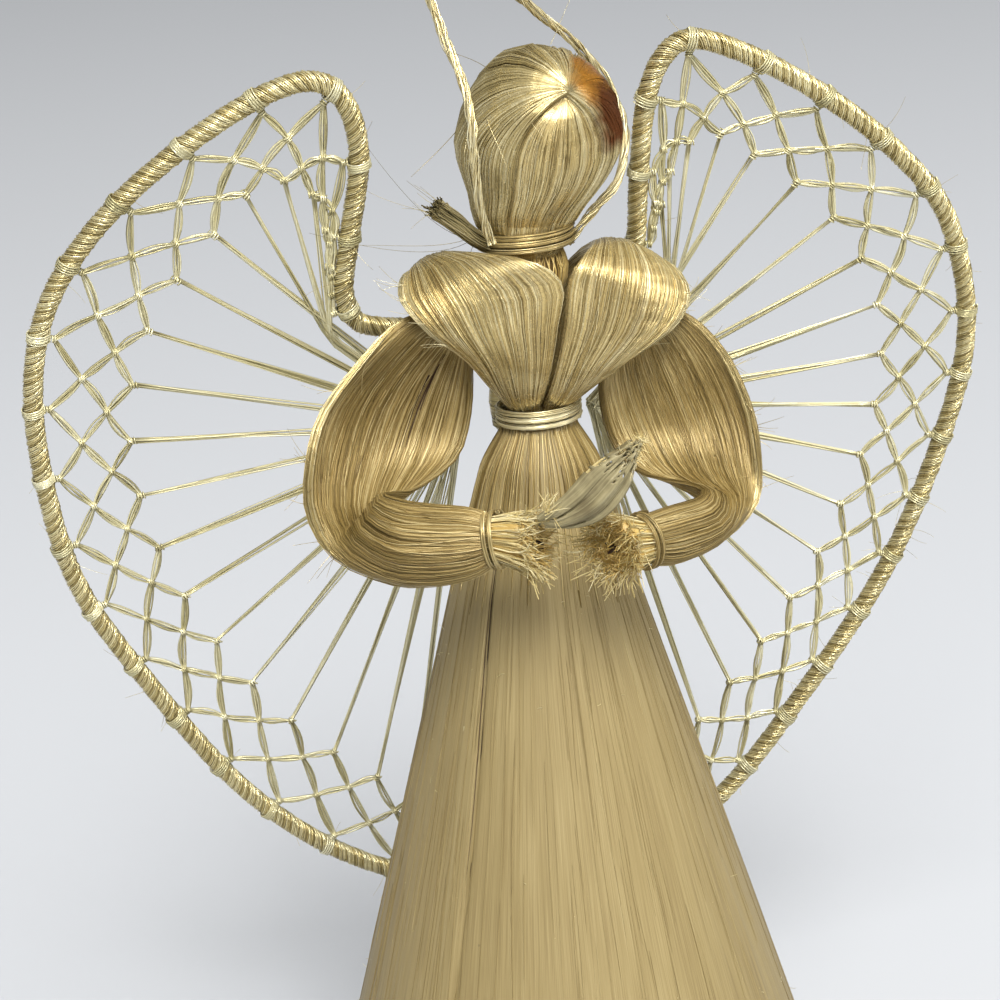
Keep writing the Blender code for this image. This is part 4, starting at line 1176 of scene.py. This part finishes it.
def braid(a, b, fibres, spread, radius, belly, samples=7):
    """A flat strand of fibres between two knots, spread out in its middle."""
    t = np.linspace(0, 1, samples)
    run = b - a
    side = np.array([-run[1], run[0]]) / np.linalg.norm(run)
    routes = []
    for k in range(fibres):
        place = (k / (fibres - 1) - 0.5) * 2 + random.uniform(-0.2, 0.2)
        fan = spread * (0.35 + 0.65 * np.sin(math.pi * t)) * place
        middle = a + run * t[:, None] + side * (belly * np.sin(math.pi * t) + fan)[:, None]
        lift = 0.22 * wander(1, samples, 1.5)[0] + 0.18 * (k % 2)
        routes.append(wing_point(middle, lift))
    return [(route, radius * random.uniform(0.8, 1.2)) for route in routes]


def wrap(at, ahead, radius, turns, width, strand, samples=9):
    """A few tight turns round a strand or the wire, at a point of the wings' plane."""
    turn = np.linspace(0, 2 * math.pi * turns, int(turns * samples))
    side = np.array([-ahead[1], ahead[0]])
    along = width * np.linspace(-0.5, 0.5, len(turn))
    plane = at + ahead * along[:, None] + side * (radius * np.cos(turn))[:, None]
    return wing_point(plane, radius * np.sin(turn)), strand


def spoke(end, wing, gathered):
    """The fibres of a spoke, from a knot to the hub, the gathered ones past the wire's corner."""
    fibres = []
    for k in range(8):
        near = random.uniform(-0.4, 0.4, 2) + 0.8 * (k % 2) * np.array([0.4, -0.9])
        ends = [end + random.uniform(-0.25, 0.25, 2)]
        if gathered:
            ends.append(np.array(SPOKE_CORNER[wing]) + near * 0.8)
        ends.append(np.array(NET_HUB[wing]) + near * 1.6)
        line = evenly(np.array(ends), 3.2)
        bow = 0.5 * wander(1, len(line), 0.8)[0]
        lift = 0.3 * wander(1, len(line), 1.0)[0]
        fibres.append((wing_point(line + bow[:, None] * 0.35, lift), random.uniform(0.13, 0.18)))
    return fibres


def wings():
    """The wrapped wire with its bands, and the net in each wing."""
    outline = wing_outline()
    line = evenly(outline, 0.6, closed=True)
    middle = wing_point(line)
    normals = np.broadcast_to(WING_NORMAL, middle.shape)
    turns_on = rope(middle, normals, 5, WIRE_RADIUS - 0.26, 5.2, 0.19, plies=3, flat=0.93, loose=0.08)
    wire = strands("wire", [(middle[::3], WIRE_RADIUS - 0.40)], 2)
    bands, net_parts = [], []
    for wing, name in enumerate(("wing_net_left", "wing_net_right")):
        points, run, inward = ties_on_wire(outline, wing)
        knots, netting, spokes, small, large = net_knots(points + inward * NET_INSET, NET_CORNER[wing],
                                                         NET_HUB[wing], NET_GATHERED[wing])
        net = []
        for a, b in netting:
            net += braid(knots[a], knots[b], 5, 0.50, 0.18, random.uniform(-0.35, 0.35))
        for k, (a, _) in enumerate(spokes):
            net += spoke(knots[a], wing, k < NET_GATHERED[wing])
        for rows, width in ((small, 0.9), (large, 1.3)):
            for knot in rows:
                nearest = np.argmin(np.linalg.norm(points - knots[knot], axis=1))
                net.append(wrap(knots[knot], -inward[nearest], 0.5, 3, width, 0.15))
        for point, ahead, into in zip(points, run, inward):
            for turns, width in ((4, 1.5), (3, 1.1)):
                bands.append(wrap(point + ahead * random.uniform(-0.3, 0.3), unit(ahead + 0.16 * into),
                                  WIRE_RADIUS + 0.03, turns, width, random.uniform(0.11, 0.16), 12))
            net.append(wrap(point + into * (WIRE_RADIUS + 0.5), into, 0.5, 3, 1.1, 0.16))
        net_parts.append((name, strands(name, net)))
    starts = middle[random.integers(0, len(middle), 110)]
    loose = hairs(starts, random.normal(size=(110, 3)), (2.4, 6.5), curl=0.8, radius=0.045)
    # The wire's dark fibre is painted shade, seen in the gaps between the wrap's turns.
    parts = [(wire, UNDER_SHADE), (strands("wrap", turns_on + loose), WRAP), (strands("bands", bands), NETTING)]
    piece("wing_frame_wrap", parts, "wound_fibre", "wing_frame")
    for name, mesh in net_parts:
        piece(name + "_strands", [(mesh, NETTING)], "wound_fibre", name)


def wing_binding():
    """The wad of wound fibre that holds the wings behind the waist."""
    rings, turns = [], []
    profile = ((-5.5, 3.5), (-4.2, 5.2), (0, 5.8), (5, 5.2), (8.5, 4.2), (9.4, 2.8))
    turn = once_round(20)

    def section(height):
        _, back, z = wing_point((0, height))[0] + [0, 1.2, 0]
        front = max(WAIST_RADIUS + 1.9, float(skirt_radius(z)) + 0.6)
        half = np.interp(height, *zip(*profile))
        return (front + back) / 2, (back - front) / 2, half, z

    for height in np.linspace(-5.5, 9.4, 9):
        centre, depth, half, z = section(height)
        rings.append(np.stack([WAIST_X + (half - 0.5) * np.cos(turn), centre + (depth - 0.4) * np.sin(turn),
                               np.full(20, z)], 1))
    for layer in (0.0, 0.25, 0.5, 0.75):
        points = []
        for t in np.linspace(0, 1, 520):
            centre, depth, half, z = section(-5.3 + 14.5 * t)
            spin = 2 * math.pi * (15 * t + layer)
            points.append((WAIST_X + (half - 0.25) * math.cos(spin),
                           centre + (depth - 0.25) * math.sin(spin),
                           z + 0.25 * math.sin(spin * 0.37 + layer * 9)))
        turns.append((np.array(points), 0.3))
    # The wad's dark fibre is painted shade, seen between the turns.
    parts = [(loft("wad", rings), UNDER_SHADE), (strands("turns", turns), WRAP)]
    piece("wing_binding_turns", parts, "wound_fibre", "wing_binding")


def hanging_loop():
    """The stiff loop of twisted strands, from the neck up past both sides of the head."""
    route = [
        (-5.8, -6.4, 156.2), (-6.3, -7.3, 158.6), (-6.8, -8.3, 162.3), (-7.0, -8.7, 166.6),
        (-7.0, -8.3, 171.1), (-7.1, -6.8, 175.4), (-8.0, -4.6, 179.3), (-9.4, -2.4, 184.0),
        (-10.8, -1.0, 189.0), (-12.9, 0.0, 196.0), (-15.0, 0.2, 202.0), (-16.6, 0.3, 205.0),
        (-16.2, 0.5, 206.2), (-14.0, 0.8, 204.4), (-9.0, 1.2, 199.0), (-3.0, 2.0, 192.6),
        (3.2, 3.0, 186.3), (7.4, 4.4, 182.4), (11.0, 5.6, 178.9), (14.0, 6.2, 175.1),
        (16.0, 5.6, 171.2), (16.7, 4.0, 167.4), (16.4, 1.7, 163.8), (14.8, 0.0, 160.2),
        (12.7, -0.6, 157.8), (11.0, -0.9, 156.3),
    ]
    route = [(-4.9, -5.6, 153.9), *route, (8.4, -1.5, 154.0), (6.6, -1.4, 151.9)]
    line = evenly(smooth(route, 400), 0.9)
    start = np.broadcast_to(np.array([0.3, 1.0, 0.1]), line.shape)
    twist = strands("loop", rope(line, start, 3, 0.44, 24.0, 0.13, plies=7, loose=0.2))
    cord = piece("hanging_loop_strands", [(twist, PALE)], "wound_fibre", "hanging_loop")


# Stage

def stage():
    """A wide matt floor, one soft sun, three soft lights and a dim sky."""
    form = bmesh.new()
    bmesh.ops.create_grid(form, x_segments=1, y_segments=1, size=4.0)
    mesh = finished(form, "floor")
    floor = added("floor", mesh)
    material, _, shader = new_material("floor")
    shader.inputs["Base Color"].default_value = (0.51, 0.52, 0.535, 1)
    shader.inputs["Roughness"].default_value = 0.9
    mesh.materials.append(material)

    sun = bpy.data.lights.new("key", "SUN")
    sun.angle = math.radians(60)
    sun.energy = 1.15
    sun.color = (1.0, 0.98, 0.94)
    aim_light(sun, (0.35, -0.40, 1.0))
    for name, at, size, power in (("front", (-0.05, -1.50, 1.80), 1.1, 72.0),
                                  ("right", (2.0, -1.0, 1.2), 0.8, 14.0),
                                  ("left", (-2.0, -1.2, 1.2), 2.0, 3.0)):
        light = bpy.data.lights.new(name, "AREA")
        light.size = size
        light.energy = power
        aim_light(light, at)
    world = bpy.data.worlds.new("studio")
    world.use_nodes = True
    sky = world.node_tree.nodes["Background"]
    sky.inputs["Color"].default_value = (0.90, 0.94, 1.0, 1)
    sky.inputs["Strength"].default_value = 0.32
    bpy.context.scene.world = world
    bpy.context.scene.view_settings.view_transform = "Standard"


def aim_light(light, at):
    """Hang a lamp at a place in metres, turned to the body."""
    holder = added(light.name, light)
    holder.location = at
    holder.rotation_euler = (Vector(LIGHT_AIM) - Vector(at)).to_track_quat("-Z", "Y").to_euler()


def camera():
    """The camera aims at a point of the body, turned a little about its own axis."""
    level = Vector((math.cos(CAMERA_AZIMUTH), math.sin(CAMERA_AZIMUTH), 0))
    back = Vector((math.sin(CAMERA_AZIMUTH) * math.cos(CAMERA_ELEVATION),
                   -math.cos(CAMERA_AZIMUTH) * math.cos(CAMERA_ELEVATION), math.sin(CAMERA_ELEVATION)))
    up = back.cross(level)
    turned = level * math.cos(CAMERA_ROLL) - up * math.sin(CAMERA_ROLL)
    above = level * math.sin(CAMERA_ROLL) + up * math.cos(CAMERA_ROLL)
    data = bpy.data.cameras.new("camera")
    data.lens = LENS
    data.sensor_width = 36
    data.clip_start = 0.01
    holder = added("camera", data)
    matrix = Matrix((turned, above, back)).transposed().to_4x4()
    matrix.translation = (Vector(AIM) + back * CAMERA_DISTANCE) * MM
    holder.matrix_world = matrix
    bpy.context.scene.camera = holder


FIBRE_SECTION = fibre_section()
TONE = tone_group()
GOLD = ((0.18, 0.115, 0.032), (0.54, 0.415, 0.17), (0.90, 0.80, 0.49))
SILKY = fibre_material("silky fibre", *GOLD, 0.17, relief=0.1)
COMBED = fibre_material("combed fibre", *GOLD, 0.20, relief=0.35, grain=(300, 1.6))
# A darker copy of the gold tones for the sleeves: partly a warmer tone of their own, partly painted shade
# of the hollow sleeves.
SLEEVE_SHADE_TONES = ((0.11, 0.07, 0.016), (0.32, 0.225, 0.072), (0.66, 0.53, 0.26))
SLEEVE = fibre_material("sleeve fibre", *SLEEVE_SHADE_TONES, 0.31, silk=0.35)
COMBED_SLEEVE = fibre_material("combed sleeve", *SLEEVE_SHADE_TONES, 0.36, silk=0.35, relief=0.8, grain=(300, 1.6))
HAIR_TONES = ((0.19, 0.14, 0.05), (0.50, 0.395, 0.17), (0.90, 0.81, 0.52))
STAINS = (((14.8, -6.0, 178.0), 6.8, (0.53, 0.24, 0.03)),           # amber
          ((17.0, -6.0, 171.0), 6.6, (0.13, 0.038, 0.006)))         # brown
HAIR = fibre_material("hair fibre", *HAIR_TONES, 0.18, relief=0.1, stains=STAINS)
COMBED_HAIR = fibre_material("combed hair", *HAIR_TONES, 0.20, relief=0.3, grain=(560, 1.4),
                             stains=STAINS)
# Near black fibre under the wrap, under the binding's turns and inside the neck: painted shade for the gaps
# and the recess where it shows.
UNDER_SHADE = fibre_material(
    "inner fibre in painted shade", (0.06, 0.035, 0.01), (0.14, 0.085, 0.025), (0.22, 0.14, 0.05), 0.5, patch=300.0)
BROWN = fibre_material(
    "brown fibre", (0.27, 0.165, 0.032), (0.58, 0.40, 0.12), (0.84, 0.66, 0.29), 0.42, silk=0.0)
TIPS = fibre_material(
    "cut tips", (0.44, 0.33, 0.11), (0.70, 0.57, 0.26), (0.93, 0.85, 0.55), 0.35, silk=0.1)
STRAW = fibre_material(
    "straw strands", (0.27, 0.19, 0.065), (0.54, 0.42, 0.18), (0.84, 0.74, 0.44), 0.22)
PALE = fibre_material(
    "pale strands", (0.42, 0.33, 0.14), (0.70, 0.60, 0.33), (0.93, 0.87, 0.62), 0.26)
WRAP = fibre_material(
    "wire wrap", (0.25, 0.19, 0.065), (0.54, 0.44, 0.20), (0.84, 0.76, 0.46), 0.22, patch=60.0)
NETTING = fibre_material(
    "net strands", (0.38, 0.33, 0.15), (0.66, 0.60, 0.35), (0.90, 0.86, 0.63), 0.26, silk=0.45)
HUSKY = fibre_material(
    "skirt strands", (0.20, 0.14, 0.05), (0.32, 0.24, 0.10), (0.50, 0.40, 0.20), 0.36, silk=0.3)
SHADE = fibre_material(
    "shaded fibre", (0.03, 0.018, 0.012), (0.07, 0.04, 0.03), (0.16, 0.10, 0.05), 0.5)
DULL = fibre_material(
    "dull fibre", (0.15, 0.12, 0.05), (0.34, 0.28, 0.13), (0.56, 0.48, 0.27), 0.42)
SHEET = sheet_material("skirt sheet")
HUSK = husk_material("dry husk")

camera()
stage()
hanging_loop()
skirt()
bodice()
arms()
held_husk()
head()
hair()
ties()
neck_knot()
wings()
wing_binding()

bpy.data.objects.remove(FIBRE_SECTION)
